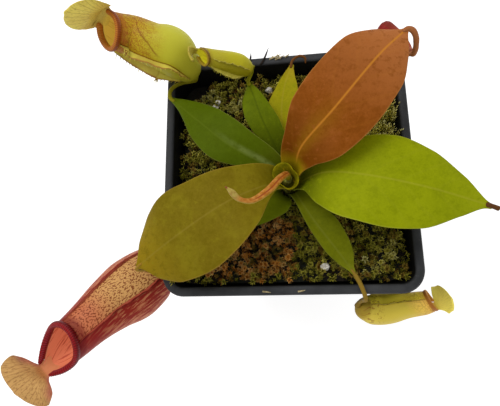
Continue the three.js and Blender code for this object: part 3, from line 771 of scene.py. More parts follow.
@dataclass(frozen=True)
class CupFinish(Finish):
    """A pitcher's wall.

    The mark "span" holds (angle from the middle of the wings from -1 to 1, share along, 1 inside) and
    "ground" holds (millimetres around, millimetres along, 0 on the wall or 1 to 2 from a wing's root to its
    edge).
    """

    belly: str
    front: str
    throat: str
    side: str
    neck: str
    foot: str
    fleck: str
    streak: str = "aaa83a"
    inside: str = "b08a3c"
    inner_fleck: str = "8a4a20"
    wing: str = "b0a644"
    wing_edge: str = "8a6424"
    # This colour draws the veins and the band beside each wing root; that band is partly the wall's own dark band
    # and partly painted shadow of the wing.
    dark_line_and_shade: str = "6a3414"
    collar: str = "8a5a24"
    front_flecks: float = 0.0
    streaking: float = 0.0
    net: float = 0.0
    foot_flecks: float = 0.0
    collar_start: float = 0.95
    collar_show: float = 0.5
    neck_start: float = 0.55
    neck_show: float = 1.0
    front_width: float = 0.15
    fleck_size: float = 1.0
    dark_line_and_shade_show: float = 0.5
    vein_show: float = 0.0
    left_light: float = 0.0
    # glow is the strength of a painted glow on the lining, an emission that lifts its shade.
    glow: float = 0.3

    def make(self, shader: Shader) -> Material:
        """Zones by angle and height, flecks and streaks along the wall, a net by the mouth, and wing roots with a
        dark band beside them that is partly painted shadow.

        The inside has a painted glow: an emission that lifts the shaded lining, standing in for daylight through
        the thin wall.
        """
        around, along, inner = shader.mark("span")
        girth, height, fin = shader.mark("ground")
        aside, size = abs(around), self.fleck_size
        cloud = shader.noise(130.0, 3.0)
        wander = cloud * 3.0
        grid = shader.stretched(girth * 1.25 + wander, height * 0.55 + wander, 0.0)
        dots = shader.noise(1.45 / size, 2.0, 0.5, grid)
        streaks = shader.noise(0.95 / size, 4.0, 0.62, shader.stretched(girth, height * 0.15, 3.0))
        mesh = shader.noise(1.2 / size, 3.0, 0.6, shader.stretched(girth, height * 0.7, 9.0))
        fine = shader.noise(1600.0, 2.0)
        light = (streaks + aside * 0.22 + around.band(0.1, 0.2) * self.left_light).band(0.55, 0.68)
        neck = (along + cloud * 0.25).band(self.neck_start, self.neck_start + 0.35)
        before = aside.band(self.front_width + 0.012, self.front_width - 0.012)
        front = shader.coats(
            shader.mix(along.band(0.5, 0.85), self.front, self.throat),
            (dots.band(0.525, 0.56) * self.front_flecks, self.fleck),
        )
        web = abs(mesh - 0.5).band(0.05, 0.012).larger(mesh.band(0.6, 0.68))
        blotch = mesh.band(0.54, 0.64) * along.band(0.42, 0.18)
        vein = abs(around * 0.8 + 0.225 - along + cloud * 0.06).band(0.02, 0.004) * along.band(0.4, 0.5)
        collar = (along + cloud * 0.06).band(self.collar_start, self.collar_start + 0.06)
        # Painted shadow: the band just outside each wing root is partly a real dark band and partly the wing's
        # shadow.
        dark_line_and_shade = abs(aside - self.front_width - 0.01).band(0.022, 0.006) * along.band(0.04, 0.2)
        wing = shader.coats(
            shader.mix(cloud.band(0.4, 0.65) * 0.35, self.wing, self.wing_edge),
            ((fin + cloud * 0.3).band(1.85, 2.1), self.wing_edge),
        )
        lining = shader.mix(streaks.band(0.52, 0.62) * 0.7, self.inside, self.inner_fleck)
        colour = shader.coats(
            shader.mix(abs(around + cloud * 0.08).band(0.3, 0.75), self.belly, self.side),
            (light * self.streaking, self.streak),
            (neck * self.neck_show, self.neck),
            (before, front),
            (along.band(0.14, 0.02), self.foot),
            (web * neck * self.net, self.fleck),
            (blotch * self.foot_flecks, self.fleck),
            (vein * around.band(0.2, 0.26) * self.vein_show, self.dark_line_and_shade),
            (collar * self.collar_show, self.collar),
            (dark_line_and_shade * self.dark_line_and_shade_show, self.dark_line_and_shade),
            (fin.band(0.2, 0.9), wing),
            (inner, lining),
        )
        shader.relief(fine * 0.4 + streaks * 0.6, 0.16 * MM, 0.6)
        # Painted glow: the lining emits its own colour to lift the shade inside the cup.
        return shader.dress(colour, fine * 0.15 + 0.42, specular_ior_level=0.1,
                            emission_color=shader.mix(inner, BLACK, lining), emission_strength=self.glow)


@dataclass(frozen=True)
class LipFinish(Finish):
    """The ribbed lip of a pitcher.

    The mark "span" holds (share of the rib, 0, cosine of the angle from the outer side).
    """

    crest: str
    valley: str
    inner: str
    line: str

    def make(self, shader: Shader) -> Material:
        """Bright on the ribs and dark between them, palest on the ribs' inner ends, with a dark outer line."""
        rib, _, facing = shader.mark("span")
        cloud = shader.noise(220.0, 3.0)
        crest = rib.band(0.2, 0.9) * 0.75 + cloud.band(0.3, 0.8) * 0.25
        colour = shader.coats(
            shader.mix(crest, self.valley, self.crest),
            (rib.band(0.55, 0.95) * facing.band(-0.1, -0.75), self.inner),
            (facing.band(0.6, 0.95) * 0.7, self.line),
        )
        return shader.dress(colour, 0.4, specular_ior_level=0.12, coat_weight=0.04, coat_roughness=0.3)


@dataclass(frozen=True)
class LidFinish(Finish):
    """A pitcher's lid.

    The mark "span" holds (share across, share along, 1 on the underside) and "ground" holds (millimetres
    across, millimetres along, 0).
    """

    blade: str
    neck: str
    throat: str
    edge: str
    ear: str = "b5705c"
    fleck: str = "6b3418"
    flecks: float = 0.5
    ears: float = 0.0
    rays: float = 0.3
    # glow is the strength of a painted glow on the part of the neck inside the mouth.
    glow: float = 0.3
    throat_end: float = 0.1

    def make(self, shader: Shader) -> Material:
        """Flecks and fine rays that spread from the neck, with flushed lobes beside it and a darker edge.

        The part of the neck inside the mouth has a painted glow, an emission as on the cup's lining. A ray's
        number is the distance across over the distance from a point behind the neck.
        """
        across, along, _ = shader.mark("span")
        wide, far, _ = shader.mark("ground")
        aside = abs(across)
        cloud = shader.noise(160.0, 3.0)
        ray = wide / (far + 3.0)
        grid = shader.stretched(ray * 14.0 + cloud * 1.5, far * 0.6, 0.0)
        dots = shader.noise(1.5, 3.0, 0.6, grid).band(0.53, 0.62)
        veins = (ray * 42.0 + cloud * 7.0).sine().band(0.7, 1.0)
        deep = along.band(self.throat_end, -0.02 - 0.2 * self.throat_end)
        colour = shader.coats(
            shader.mix(cloud.band(0.4, 0.7) * 0.45, self.blade, self.edge),
            (along.band(0.3, 0.12), self.neck),
            (aside.band(0.4, 0.9) * along.band(0.55, 0.3) * self.ears, self.ear),
            (dots * self.flecks, self.fleck),
            (veins * self.rays, self.fleck),
            (aside.band(0.94, 1.0) * 0.5 * along.band(0.1, 0.3), self.edge),
            (deep, self.throat),
        )
        shader.relief(dots * 0.4 + veins * 0.5 + cloud * 0.4, 0.2 * MM, 0.6)
        # Painted glow: the neck inside the mouth emits its throat colour.
        return shader.dress(colour, 0.5, specular_ior_level=0.08,
                            emission_color=shader.mix(deep, BLACK, self.throat), emission_strength=self.glow)


@dataclass(frozen=True)
class PlainFinish(Finish):
    """One mottled stuff, such as soil, grit or straw. grain is its noise's detail and roughness."""

    light: str
    dark: str
    scale: float
    roughness: float
    shine: float = 0.2
    grain: tuple[float, float] = (4.0, 0.6)
    edges: tuple[float, float] = (0.35, 0.65)
    depth: float = 0.4

    def make(self, shader: Shader) -> Material:
        """Two tones in cloudy noise, with a rough relief."""
        cloud = shader.noise(self.scale, *self.grain)
        shader.relief(cloud, self.depth * MM)
        colour = shader.mix(cloud.band(*self.edges), self.dark, self.light)
        return shader.dress(colour, self.roughness, specular_ior_level=self.shine)


@dataclass(frozen=True)
class FloorFinish(Finish):
    """The pale studio floor, lit from below as a light table is."""

    tone: str = "bcbcbc"
    glow: float = 0.75

    def make(self, shader: Shader) -> Material:
        """One pale tone with an even glow."""
        return shader.dress(self.tone, 0.9, specular_ior_level=0.05, emission_color=WHITE,
                            emission_strength=self.glow)


# Pot


def rounded_square(half: Array, corner: Array, height: Array, steps: int) -> Array:
    """Rings of a square with round corners.

    Quarter q, step k: centre of the corner arc + corner (cos a, sin a), with a from q to q + 1 quarter turns.

    Args:
        half: half the side of each ring, in millimetres.
        corner: each ring's corner radius.
        height: each ring's height.
        steps: points on a corner, less one.

    Returns:
        Rings by points by 3, in metres.
    """
    quarter = np.repeat(np.arange(4), steps + 1)
    angle = (quarter + np.tile(np.linspace(0, 1, steps + 1), 4)) * math.pi / 2
    x_side = np.where((quarter == 0) | (quarter == 3), 1, -1)
    y_side = np.where(quarter < 2, 1, -1)
    x = (half - corner)[:, None] * x_side + corner[:, None] * np.cos(angle)
    y = (half - corner)[:, None] * y_side + corner[:, None] * np.sin(angle)
    return vectors(x, y, height[:, None], x.shape) * MM


def wall_half(height: float) -> float:
    """Half the pot's outer width at a height, on its tapered wall."""
    return (BASE_SIDE + (NECK_SIDE - BASE_SIDE) * height / (POT_HEIGHT - COLLAR_HEIGHT)) / 2


def wall_corner(height: float) -> float:
    """The pot's corner radius at a height."""
    return BASE_CORNER + (RIM_CORNER - BASE_CORNER) * height / POT_HEIGHT


@dataclass
class Pot:
    """The square nursery pot: a tapered wall, a collar with a rolled lip, and a floor with drain holes.

    pole is the half width and the corner radius of the small square at the middle of the floor, and the drain
    holes towards the corners lie further out by far_drain.
    """

    corner_steps: int = 14
    pole: tuple[float, float] = (8, 2)
    drains: int = 8
    far_drain: float = 1.2
    drain_sides: int = 28
    sharp: float = 38.0
    finish: PlasticFinish = PlasticFinish("charcoal_plastic")

    def section(self) -> Array:
        """The wall's section from the middle of the underside to the middle of the floor inside.

        Returns:
            Rows of (half width, corner radius, height).
        """
        top, collar, foot = POT_HEIGHT, POT_HEIGHT - COLLAR_HEIGHT, BASE_SIDE / 2
        rim, mouth, inner_corner = RIM_SIDE / 2, RIM_SIDE / 2 - LIP_WIDTH, RIM_CORNER - LIP_WIDTH

        def wall(height: float, inset: float = 0.0) -> tuple[float, float, float]:
            """One row on the tapered wall."""
            return wall_half(height) - inset, wall_corner(height) - inset, height

        outer = [(*self.pole, 0), (foot - 1.4, BASE_CORNER - 1, 0), (foot - 0.5, BASE_CORNER - 0.3, 0.35),
                 wall(1.3), wall(collar * 0.35), wall(collar * 0.7), wall(collar - 0.3),
                 (wall_half(collar) + 0.25, wall_corner(collar), collar),
                 (rim - 0.8, RIM_CORNER - 0.5, collar + 0.1), (rim - 0.2, RIM_CORNER, collar + 0.5),
                 (rim, RIM_CORNER, collar + 1.2)]
        lip = [(rim, RIM_CORNER, top - 1.3), (rim - 0.15, RIM_CORNER, top - 0.6),
               (rim - 0.6, RIM_CORNER - 0.3, top - 0.12), (rim - 1.1, RIM_CORNER - 0.7, top),
               (mouth + 0.8, inner_corner + 0.8, top - 0.1), (mouth + 0.3, inner_corner + 0.3, top - 0.45),
               (mouth, inner_corner, top - 1.2)]
        inner = [wall(collar - 0.6, POT_WALL), wall(collar * 0.6, POT_WALL), wall(POT_FLOOR + 1.2, POT_WALL),
                 (wall_half(0) - POT_WALL - 0.8, BASE_CORNER - POT_WALL, POT_FLOOR), (*self.pole, POT_FLOOR)]
        return np.array(outer + lip + inner, float)

    def plugs(self) -> Shell:
        """Round plugs in the places of the drain holes, a millimetre longer than they are at both ends."""
        plugs = Shell()
        for k, angle in enumerate(circle(self.drains)):
            x, y, _ = DRAIN_REACH * (self.far_drain if k % 2 else 1.0) * turned(angle, EAST, NORTH)
            line = Course([[x, y, -1], [x, y, POT_FLOOR + 1]])
            plugs.add_rings(cord_rings(line, np.full(2, DRAIN_RADIUS), np.array([0.0, 1.0]), self.drain_sides))
        return plugs

    def build(self) -> None:
        """Lofts the section round the pot, drills the drain holes and dresses it."""
        half, corner, height = self.section().T
        rings = rounded_square(half, corner, height, self.corner_steps)
        pot = Shell().add_rings(rings).build("nursery_pot", self.finish, "pot", ["pot"])
        plugs = self.plugs().build("drain_plugs", self.finish, "pot")
        cut = pot.modifiers.new("drain holes", "BOOLEAN")
        cut.operation, cut.solver, cut.object = "DIFFERENCE", "EXACT", plugs
        graph = bpy.context.evaluated_depsgraph_get()
        drilled = bpy.data.meshes.new_from_object(pot.evaluated_get(graph))
        pot.modifiers.clear()
        pot.data = drilled
        bpy.data.objects.remove(plugs)
        drilled.set_sharp_from_angle(angle=math.radians(self.sharp))


# Moss


class MossKind(Enum):
    """The sorts of shoot in the bed."""

    FEATHER = "feather"
    STAR = "star"


@dataclass(frozen=True)
class ShootShape:
    """How one sort of shoot grows, in millimetres.

    lean is how far it may lean, in radians, and opening is how far its leaflets open, in degrees.
    """

    kind: MossKind
    leaflets: int
    height: tuple[float, float]
    lean: float
    leaflet: float
    width: float
    opening: float


FEATHER = ShootShape(MossKind.FEATHER, 14, (2.0, 4.0), 1.05, 1.2, 0.45, 58)
STAR = ShootShape(MossKind.STAR, 15, (3.2, 5.6), 0.6, 2.1, 0.36, 62)
STRAND = ShootShape(MossKind.FEATHER, 16, (7.5, 11.0), 0.5, 2.2, 0.45, 40)


@dataclass
class MossBed:
    """The moss carpet and the shoots that stand in it, in millimetres.

    corner is the middle of the bare hollow in the far left corner, and bare holds the distances at which it
    ends and full moss starts. wall, wall_bare and wall_end say the same of the hollow beside the left wall.
    orange and pale are the corners of two patches, and a clump is (x, y, radius) of pale shoots. x and y are
    always places on the carpet.
    """

    level: float = 81.2
    near_rise: float = 5.5
    edge_drop: float = 2.6
    lump: float = 1.1
    corner: tuple[float, float] = (-42.0, 41.0)
    bare: tuple[float, float] = (10.5, 14.5)
    wall: float = -41.5
    wall_bare: tuple[float, float] = (1.0, 3.2)
    wall_end: float = -24.0
    hollow_depth: float = 2.4
    stem_room: float = 4.2
    far_part: float = 4.0
    right_part: float = 12.0
    seed: int = 11
    orange: Points = ((-30, -36), (-25, -24), (-9, -15.5), (0, -18), (3.5, -28), (0, -38.6), (-14, -39.4),
                      (-26, -39.2))
    pale: Points = ((29, 8), (32, 21), (35, 30), (40.2, 31), (40.2, 6), (34, 3))
    clumps: Points = ((-28.6, 32.4, 3.4), (-17.6, 27.6, 2.6), (-22.4, 26.2, 2.4), (33.5, -31, 3.2), (24, 36, 3),
                      (28, -35, 2.4))

    @property
    def edge(self) -> float:
        """Half the carpet's width where it meets the pot."""
        return wall_half(MEDIUM_TOP) - POT_WALL - CLEARANCE

    def height(self, x: Array, y: Array) -> Array:
        """The carpet's height in millimetres.

        The level, plus a rise with the cube of the way to the near side, less a drop at the other edges, plus
        three crossed waves as lumps.
        """
        share = np.maximum(np.abs(x), np.abs(y)) / self.edge
        near = np.maximum(0, -y / (RIM_SIDE / 2))
        lumps = (np.sin(0.42 * x + 1.1) * np.cos(0.36 * y - 0.4) + 0.7 * np.sin(0.83 * x - 0.55 * y)
                 + 0.6 * np.cos(0.21 * x + 0.78 * y + 2))
        drop = self.edge_drop * share**6 * (1 - near)
        return self.level + self.near_rise * near**3 - drop + self.lump * lumps * (1 - share**8)

    def hollow(self, x: Array, y: Array) -> Array:
        """1 in the bare hollow at the far left corner and beside the left wall, 0 on the moss."""
        corner = 1 - smooth(np.hypot(x - self.corner[0], y - self.corner[1]), *self.bare)
        wall = 1 - smooth(x - self.wall + 0.8 * np.sin(0.5 * y), *self.wall_bare)
        return np.maximum(corner, wall * (y > self.wall_end))

    def carpet(self) -> Shell:
        """The bed itself: a sheet of rings that shrink to the middle, closed by a flat underside."""
        rings, bottom = 64, MEDIUM_TOP + CLEARANCE
        corner = wall_corner(bottom) - POT_WALL - CLEARANCE
        outline = rounded_square(np.array([self.edge]), np.array([corner]), np.array([0.0]), 30)[0] / MM
        dense = np.linspace(outline, np.roll(outline, -1, 0), 8, endpoint=False, axis=1).reshape(-1, 3)
        x, y, _ = np.moveaxis(np.linspace(1, 0.01, rings)[:, None, None] * dense, -1, 0)
        shag = 0.35 * np.sin(2.9 * x + 1.3 * y) * np.sin(2.3 * y - 0.7 * x)
        top = self.height(x, y) + shag - self.hollow_depth * self.hollow(x, y)
        under = [vectors(x[row], y[row], bottom, x[row].shape)[None] for row in (-1, 0)]
        return Shell().add_rings(np.concatenate([*under, vectors(x, y, top, x.shape)]) * MM)

    def inside(self, patch: Points, x: Array, y: Array) -> Array:
        """Whether places lie in a patch: an odd number of its sides cross the line to the right of each.

        Args:
            patch: its corners.
            x: the places.
            y: the same.

        Returns:
            True for each place in the patch.
        """
        corners = np.array(patch, float)
        crossed = np.zeros(x.shape, bool)
        for (x0, y0), (x1, y1) in zip(corners, np.roll(corners, -1, axis=0)):
            straddles = (y0 > y) != (y1 > y)
            reach = x0 + (y - y0) * (x1 - x0) / (y1 - y0 + TINY)
            crossed ^= straddles & (x < reach)
        return crossed

    def seats(self, spacing: float, rng: np.random.Generator) -> tuple[Array, Array]:
        """Places for shoots: a square lattice with each point moved at random, where moss grows.

        Args:
            spacing: the lattice's step, in millimetres.
            rng: the draw.

        Returns:
            x and y in millimetres.
        """
        line = np.arange(-self.edge, self.edge, spacing)
        x, y = (part.ravel() + rng.uniform(-0.6, 0.6, part.size) * spacing for part in np.meshgrid(line, line))
        rim = self.edge - 0.3 - 0.7 * rng.random(x.size)
        clump = 0.5 + 0.5 * np.sin(0.9 * x + 0.4 * y) * np.sin(0.7 * y - 0.5 * x + 1)
        grows = (np.abs(x) < rim) & (np.abs(y) < rim) & (rng.random(x.size) > self.hollow(x, y))
        grows &= np.hypot(x - STEM_FOOT[0], y - STEM_FOOT[1]) > self.stem_room
        grows &= rng.random(x.size) < 0.55 + 0.45 * clump
        return x[grows], y[grows]

    def near_clump(self, x: Array, y: Array) -> Array:
        """Whether places lie within a clump's radius of its centre."""
        across, along, radius = np.array(self.clumps, float).T
        return (np.hypot(x[:, None] - across, y[:, None] - along) < radius).any(axis=1)

    def shoots(self, shape: ShootShape, x: Array, y: Array, rng: np.random.Generator) -> Shell:
        """Shoots at given places.

        A shoot is a leaning three-sided spike with leaflets in a spiral of golden angles. Each leaflet is a
        slim closed wedge of four faces: foot, tip and two edge points above its keel.

        Args:
            shape: the sort of shoot.
            x: where each stands.
            y: the same.
            rng: the draw.

        Returns:
            The shoots as one surface.
        """
        star = shape.kind is MossKind.STAR
        count, leaves = len(x), shape.leaflets
        tall = rng.uniform(*shape.height, count) * (0.75 + 0.5 * rng.random(count))
        bearing = rng.uniform(0, 2 * math.pi, count)
        lean = shape.lean * rng.random(count) ** 0.7
        foot = np.stack([x, y, self.height(x, y) - 0.5], axis=-1)
        trunk = turned(lean, UP, turned(bearing, EAST, NORTH))
        wall = self.edge + 0.4 + 0.06 * shape.height[0]
        room = np.min(np.stack([wall - np.abs(x), wall - np.abs(y)]), axis=0)
        trunk[:, :2] *= np.clip(room / 3.0, 0.1, 1)[:, None]
        trunk = unit(trunk)
        side = square_to(np.array([0.2, 0.9, 0.1]), trunk)
        other = np.cross(trunk, side)
        climb = np.linspace(0.9 if star else 0.2, 1.0, leaves)
        spin = np.arange(leaves) * GOLDEN_ANGLE + rng.uniform(0, 6, count)[:, None]
        spread = (1.15 - 0.75 * climb**3) * rng.uniform(0.8, 1.2, spin.shape)
        if star:
            spread = rng.uniform(0.45, 1.35, spin.shape)
        out = turned(spin, side[:, None], other[:, None])
        ahead = turned(math.radians(shape.opening) * spread, trunk[:, None], out)
        beam = unit(np.cross(ahead, out + 0.01))
        lift = unit(np.cross(beam, ahead))
        length = shape.leaflet * rng.uniform(0.7, 1.25, spin.shape) * (1.25 - 0.55 * climb)
        start = foot[:, None] + trunk[:, None] * (tall[:, None] * climb)[..., None]
        end = start + ahead * length[..., None]
        middle = start + ahead * (0.4 * length)[..., None] + lift * (0.12 * length)[..., None]
        half = (shape.width / 2) * beam
        leaf = np.stack([start, middle + half, middle - half, end], axis=2)
        spike = np.stack([foot + side * 0.22, foot - side * 0.15 + other * 0.2, foot - side * 0.15 - other * 0.2,
                          foot + trunk * tall[:, None] * 1.02], axis=1)[:, None]
        wedge = np.concatenate([leaf, spike], axis=1)
        draw = np.broadcast_to(rng.random(count)[:, None, None], wedge.shape[:3])
        climbs = np.broadcast_to(climb[None, :, None], leaf.shape[:3])
        heights = np.concatenate([climbs, np.broadcast_to([0.0, 0.0, 0.0, 0.9], (count, 1, 4))], axis=1)
        tips = np.broadcast_to([0.1, 0.5, 0.5, 1.0], wedge.shape[:3])
        marks = vectors(draw, heights, tips, wedge.shape[:3]).reshape(-1, 3)
        first = np.arange(count * (leaves + 1))[:, None, None] * 4
        faces = (first + np.array([[0, 2, 1], [0, 1, 3], [0, 3, 2], [1, 2, 3]])).reshape(-1, 3)
        tuft = Shell()
        tuft.add(wedge.reshape(-1, 3) * MM, [faces], {"span": marks})
        return tuft

    def build(self) -> None:
        """Makes the carpet and the shoots of each patch."""
        self.carpet().build("moss_carpet", MossBedFinish("moss_bed"), "moss_green",
                            ["moss_green", "moss_orange", "moss_pale"])
        rng = np.random.default_rng(self.seed)
        green = ShootFinish("green_moss")
        rust = ShootFinish("orange_moss", foot="3c1c08", middle="d68a28", tip="ffd88c", other="6c6c1c", odd=0.15,
                           shade=0.3)
        pale = ShootFinish("pale_moss", foot="6c6a1c", middle="c4b83c", tip="faf4a8", other="ccc064", odd=0.15,
                           shade=0.2)
        for sort, spacing in ((FEATHER, 1.2), (STAR, 2.1)):
            x, y = self.seats(spacing, rng)
            orange, strands = self.inside(self.orange, x, y), self.inside(self.pale, x, y)
            clump = self.near_clump(x, y) & ~orange
            rest, far, left = ~(orange | strands | clump), y > self.far_part, x < self.right_part
            parts = (("moss_far", rest & far, green, "moss_green"),
                     ("moss_middle", rest & ~far & left, green, "moss_green"),
                     ("moss_near", rest & ~far & ~left, green, "moss_green"),
                     ("moss_clump", clump, pale, "moss_green"), ("moss_strand", strands, pale, "moss_pale"),
                     ("moss_orange", orange, rust, "moss_orange"))
            for name, keep, finish, slot in parts:
                shape = STRAND if name == "moss_strand" and sort is FEATHER else sort
                self.shoots(shape, x[keep], y[keep], rng).build(f"{name}_{sort.kind.value}", finish, slot)


# Stem and leaves


@dataclass
class Stem:
    """The short stem in the middle of the rosette."""

    finish: PlainFinish = PlainFinish("stem_skin", "8a8a34", "4c4a1a", 600.0, 0.5)

    def build(self) -> None:
        """A cord that narrows at both ends, with rings where old leaves stood."""
        low, high = STEM_SPAN
        line = Course([[*STEM_FOOT, low], [*STEM_FOOT, (low + high) / 2], [*STEM_FOOT, high]])
        shares = np.linspace(0, 1, 90)
        radius = STEM_RADIUS * eased([(0, 0.5), (0.06, 1), (0.9, 1), (1, 0.6)], shares)
        radius *= 1 + 0.05 * np.sin(shares * 60)
        Shell().add_rings(cord_rings(line, radius, shares, 32)).build("stem_cord", self.finish, "stem", ["stem"])


@dataclass
class Sheath:
    """The rust leaf's green sheath round the new leaf's foot: a funnel with two ears, in millimetres.

    It stands higher by lean on the side that faces says, in degrees, and lower by as much on the other. The
    ears are at ears degrees and across from there.
    """

    foot: float = 91.0
    top: float = 100.8
    lean: float = 3.2
    faces: float = 45.0
    ears: float = 135.0
    radius: float = 2.4
    wall: float = 0.32
    steps: int = 26
    inner_steps: int = 21
    sides: int = 56
    finish: PlainFinish = PlainFinish("sheath_skin", "968a10", "76720a", 500.0, 0.6, 0.02)

    def build(self) -> None:
        """Outside it is centre + r (cos a, sin a), where r rises with the square of the height, and with its
        cube at the ears. Inside it comes down again within the wall.
        """
        turn = circle(self.sides)[None]
        climb = np.linspace(0, 1, self.steps)
        share = np.concatenate([climb, [1.0], climb[::-1][:self.inner_steps]])[:, None]
        inward = np.concatenate([np.zeros(self.steps), [0.5], np.ones(self.inner_steps)])[:, None]
        ear = turn - math.radians(self.ears)
        top = self.top + self.lean * np.cos(turn - math.radians(self.faces)) + 0.35 * np.sin(3 * turn)
        z = self.foot + (top - self.foot) * share + 0.15 * (inward == 0.5)
        reach = self.radius + 0.5 * share**2 + 0.12 * np.sin(4 * turn + 2 * share) - self.wall * inward
        reach = reach + (1.05 + 1.1 * np.cos(2 * ear) + 0.6 * np.cos(ear)) * share**3
        x = STEM_FOOT[0] - 0.3 * share + reach * np.cos(turn)
        y = STEM_FOOT[1] - 0.4 * share + reach * np.sin(turn)
        Shell().add_rings(vectors(x, y, z, z.shape) * MM).build("stem_sheath", self.finish, "stem")


def blade_frames(course: Course, shares: Array, sides: Array) -> tuple[Array, Array, Array]:
    """The centre, side and up vectors of a blade at each share of its midrib.

    Args:
        course: the midrib.
        shares: where to read it.
        sides: a vector towards the blade's left at each share.

    Returns:
        Centres, unit sides square to the midrib, and ups = midrib x side.
    """
    heading = course.heading(shares)
    side = square_to(sides, heading)
    return course.place(shares), side, np.cross(heading, side)


def blade_point(half: Array, bend: Array, u: Array) -> tuple[Array, Array, Array]:
    """How far out and up a blade reaches at share u of its half width.

    Each half follows an arc that has turned by bend at the margin: radius = half / bend, out = radius sin(|u|
    bend) and up = radius (1 - cos(|u| bend)). Where the bend is under 0.01 it is flat.

    Args:
        half: half widths.
        bend: bends, in radians.
        u: shares of the half width, from -1 to 1.

    Returns:
        Out, up and the turn at that point.
    """
    turn = np.abs(u) * bend
    bent = np.abs(bend) > 0.01
    radius = np.where(bent, half / np.where(bent, bend, 1), 0)
    out = np.where(bent, radius * np.sin(turn), half * np.abs(u))
    return out, np.where(bent, radius * (1 - np.cos(turn)), 0), turn


@dataclass
class Blade:
    """A thin blade on a midrib, with a rib below it and margins that thin out.

    left and right are its half widths, curl its bend in radians, and wave the height and number of the waves
    along its margins.
    """

    course: Course
    left: Stations
    right: Stations
    curl: Stations
    wave: tuple[float, float]
    rib: float
    rows: int = 90
    across: int = 27
    rib_width: float = 0.75

    def shell(self, sides: Array, shares: Array) -> tuple[Array, Marks]:
        """The blade's rings and marks.

        The upper face is centre + side out + up lift + normal t / 2, and the lower face is the same less
        normal (t / 2 + keel). t thins to a quarter at the margin as (1 - u^6)^(1/2), the keel is a bell of
        the distance from the midrib, and a shallow channel runs above it.

        Args:
            sides: a vector towards the blade's left at each share.
            shares: shares of the midrib for the rings.

        Returns:
            Rings by points by 3 in metres, and the marks "span" and "ground".
        """
        centre, side, up = blade_frames(self.course, shares, sides)
        u_line = np.sin(np.linspace(-1, 1, self.across) * math.pi / 2)
        u = np.concatenate([u_line, u_line[::-1]])[None]
        face = np.repeat([1.0, -1.0], self.across)[None]
        share = shares[:, None]
        half = np.where(u < 0, eased(self.right, share), eased(self.left, share))
        bend = eased(self.curl, share)
        out, arch, turn = blade_point(half, bend, u)
        height, turns = self.wave
        phase = 2 * math.pi * turns * share + np.where(u < 0, 1.3, 0)
        lift = arch + height * u**2 * np.minimum(1, 4 * share) * np.sin(phase)
        hand = np.sign(u)
        from_rib = half * u
        thick = BLADE / 2 * (0.25 + 0.75 * np.sqrt(np.maximum(0, 1 - u**6)))
        keel = self.rib * (1 - 0.6 * share) * np.exp(-(from_rib / self.rib_width) ** 2)
        channel = 0.3 * keel - 0.35 * self.rib * np.exp(-(from_rib / (self.rib_width * 1.8)) ** 2)
        offset = np.where(face > 0, thick + channel, -thick - keel)
        side, up = side[:, None], up[:, None]
        base = centre[:, None] + MM * ((hand * out)[..., None] * side + lift[..., None] * up)
        normal = turned(-hand * turn, up, side)
        ground = (from_rib, share * self.course.length / MM, 0)
        return base + MM * offset[..., None] * normal, marked(half.shape, (u, share, face < 0), ground)


@dataclass
class Leaf:
    """A leaf from its sheath on the stem to the end of its tendril, in millimetres and degrees.

    It faces the bearing faces, and its sheath stands at the height sheath. From there it goes out by flare and
    up by rise before its midrib starts. left and right are its half widths up to the last one, which is tip's.
    The tendril runs on past its last point to meet its pitcher.
    """

    node: str
    faces: float
    sheath: float
    midrib: Points
    left: Stations
    right: Stations
    curl: Stations
    wave: tuple[float, float]
    finish: LeafFinish
    tendril: Points | None = None
    tendril_girth: float = TENDRIL_RADIUS
    tendril_end: float = 0.75
    runs_on: float = 0.0
    sheath_radius: float = STEM_RADIUS + CLEARANCE + BLADE / 2 + 0.12
    flare: float = 0.8
    rise: float = 3.0
    rib: float = 0.5
    tip: tuple[float, float] = (1, 0.8)

    def course(self) -> Course:
        """The midrib from the sheath on the stem to the tip."""
        way = turned(math.radians(self.faces), EAST, NORTH)
        start = np.array([*STEM_FOOT, self.sheath]) + self.sheath_radius * way
        return Course([start, start + self.flare * way + self.rise * UP, *self.midrib])

    def blade(self, shell: Shell) -> None:
        """Adds the blade, whose left turns from the sheath's to the leaf's in its first third."""
        course = self.course()
        first = turned(math.radians(self.faces), NORTH, -EAST)
        last = unit(np.cross(UP, course.line[-1] - course.line[0]))
        halves = ([*half, self.tip] for half in (self.left, self.right))
        blade = Blade(course, *halves, self.curl, self.wave, self.rib)
        shares = np.linspace(0, 1, blade.rows)
        blend = np.minimum(1, 3 * shares)[:, None]
        shell.add_rings(*blade.shell((1 - blend) * first + blend * last, shares))

    def cord(self, shell: Shell) -> None:
        """Adds the tendril, which runs on a little past its last point to meet its pitcher."""
        path = np.array(self.tendril, float)
        if self.runs_on:
            path = np.vstack([path, path[-1] + self.runs_on * unit(path[-1] - path[-2])])
        course = Course(path)
        shares = np.linspace(0, 1, max(24, int(course.length / MM * 3)))
        girth = self.tendril_girth
        radius = eased([(0, 0.45), (0.12, girth), (0.85, girth * 0.95), (1, self.tendril_end)], shares)
        radius *= 1 + 0.03 * np.sin(shares * course.length / MM * 2.1)
        rings = cord_rings(course, radius, shares, 14)
        shell.add_rings(rings, marked(rings.shape[:2], (0, shares[:, None], 0), (0, 0, 1)))

    def build(self) -> None:
        """Makes the leaf in place of its node."""
        shell = Shell()
        self.blade(shell)
        if self.tendril:
            self.cord(shell)
        shell.build(f"{self.node}_blade", self.finish, self.node, [self.node])


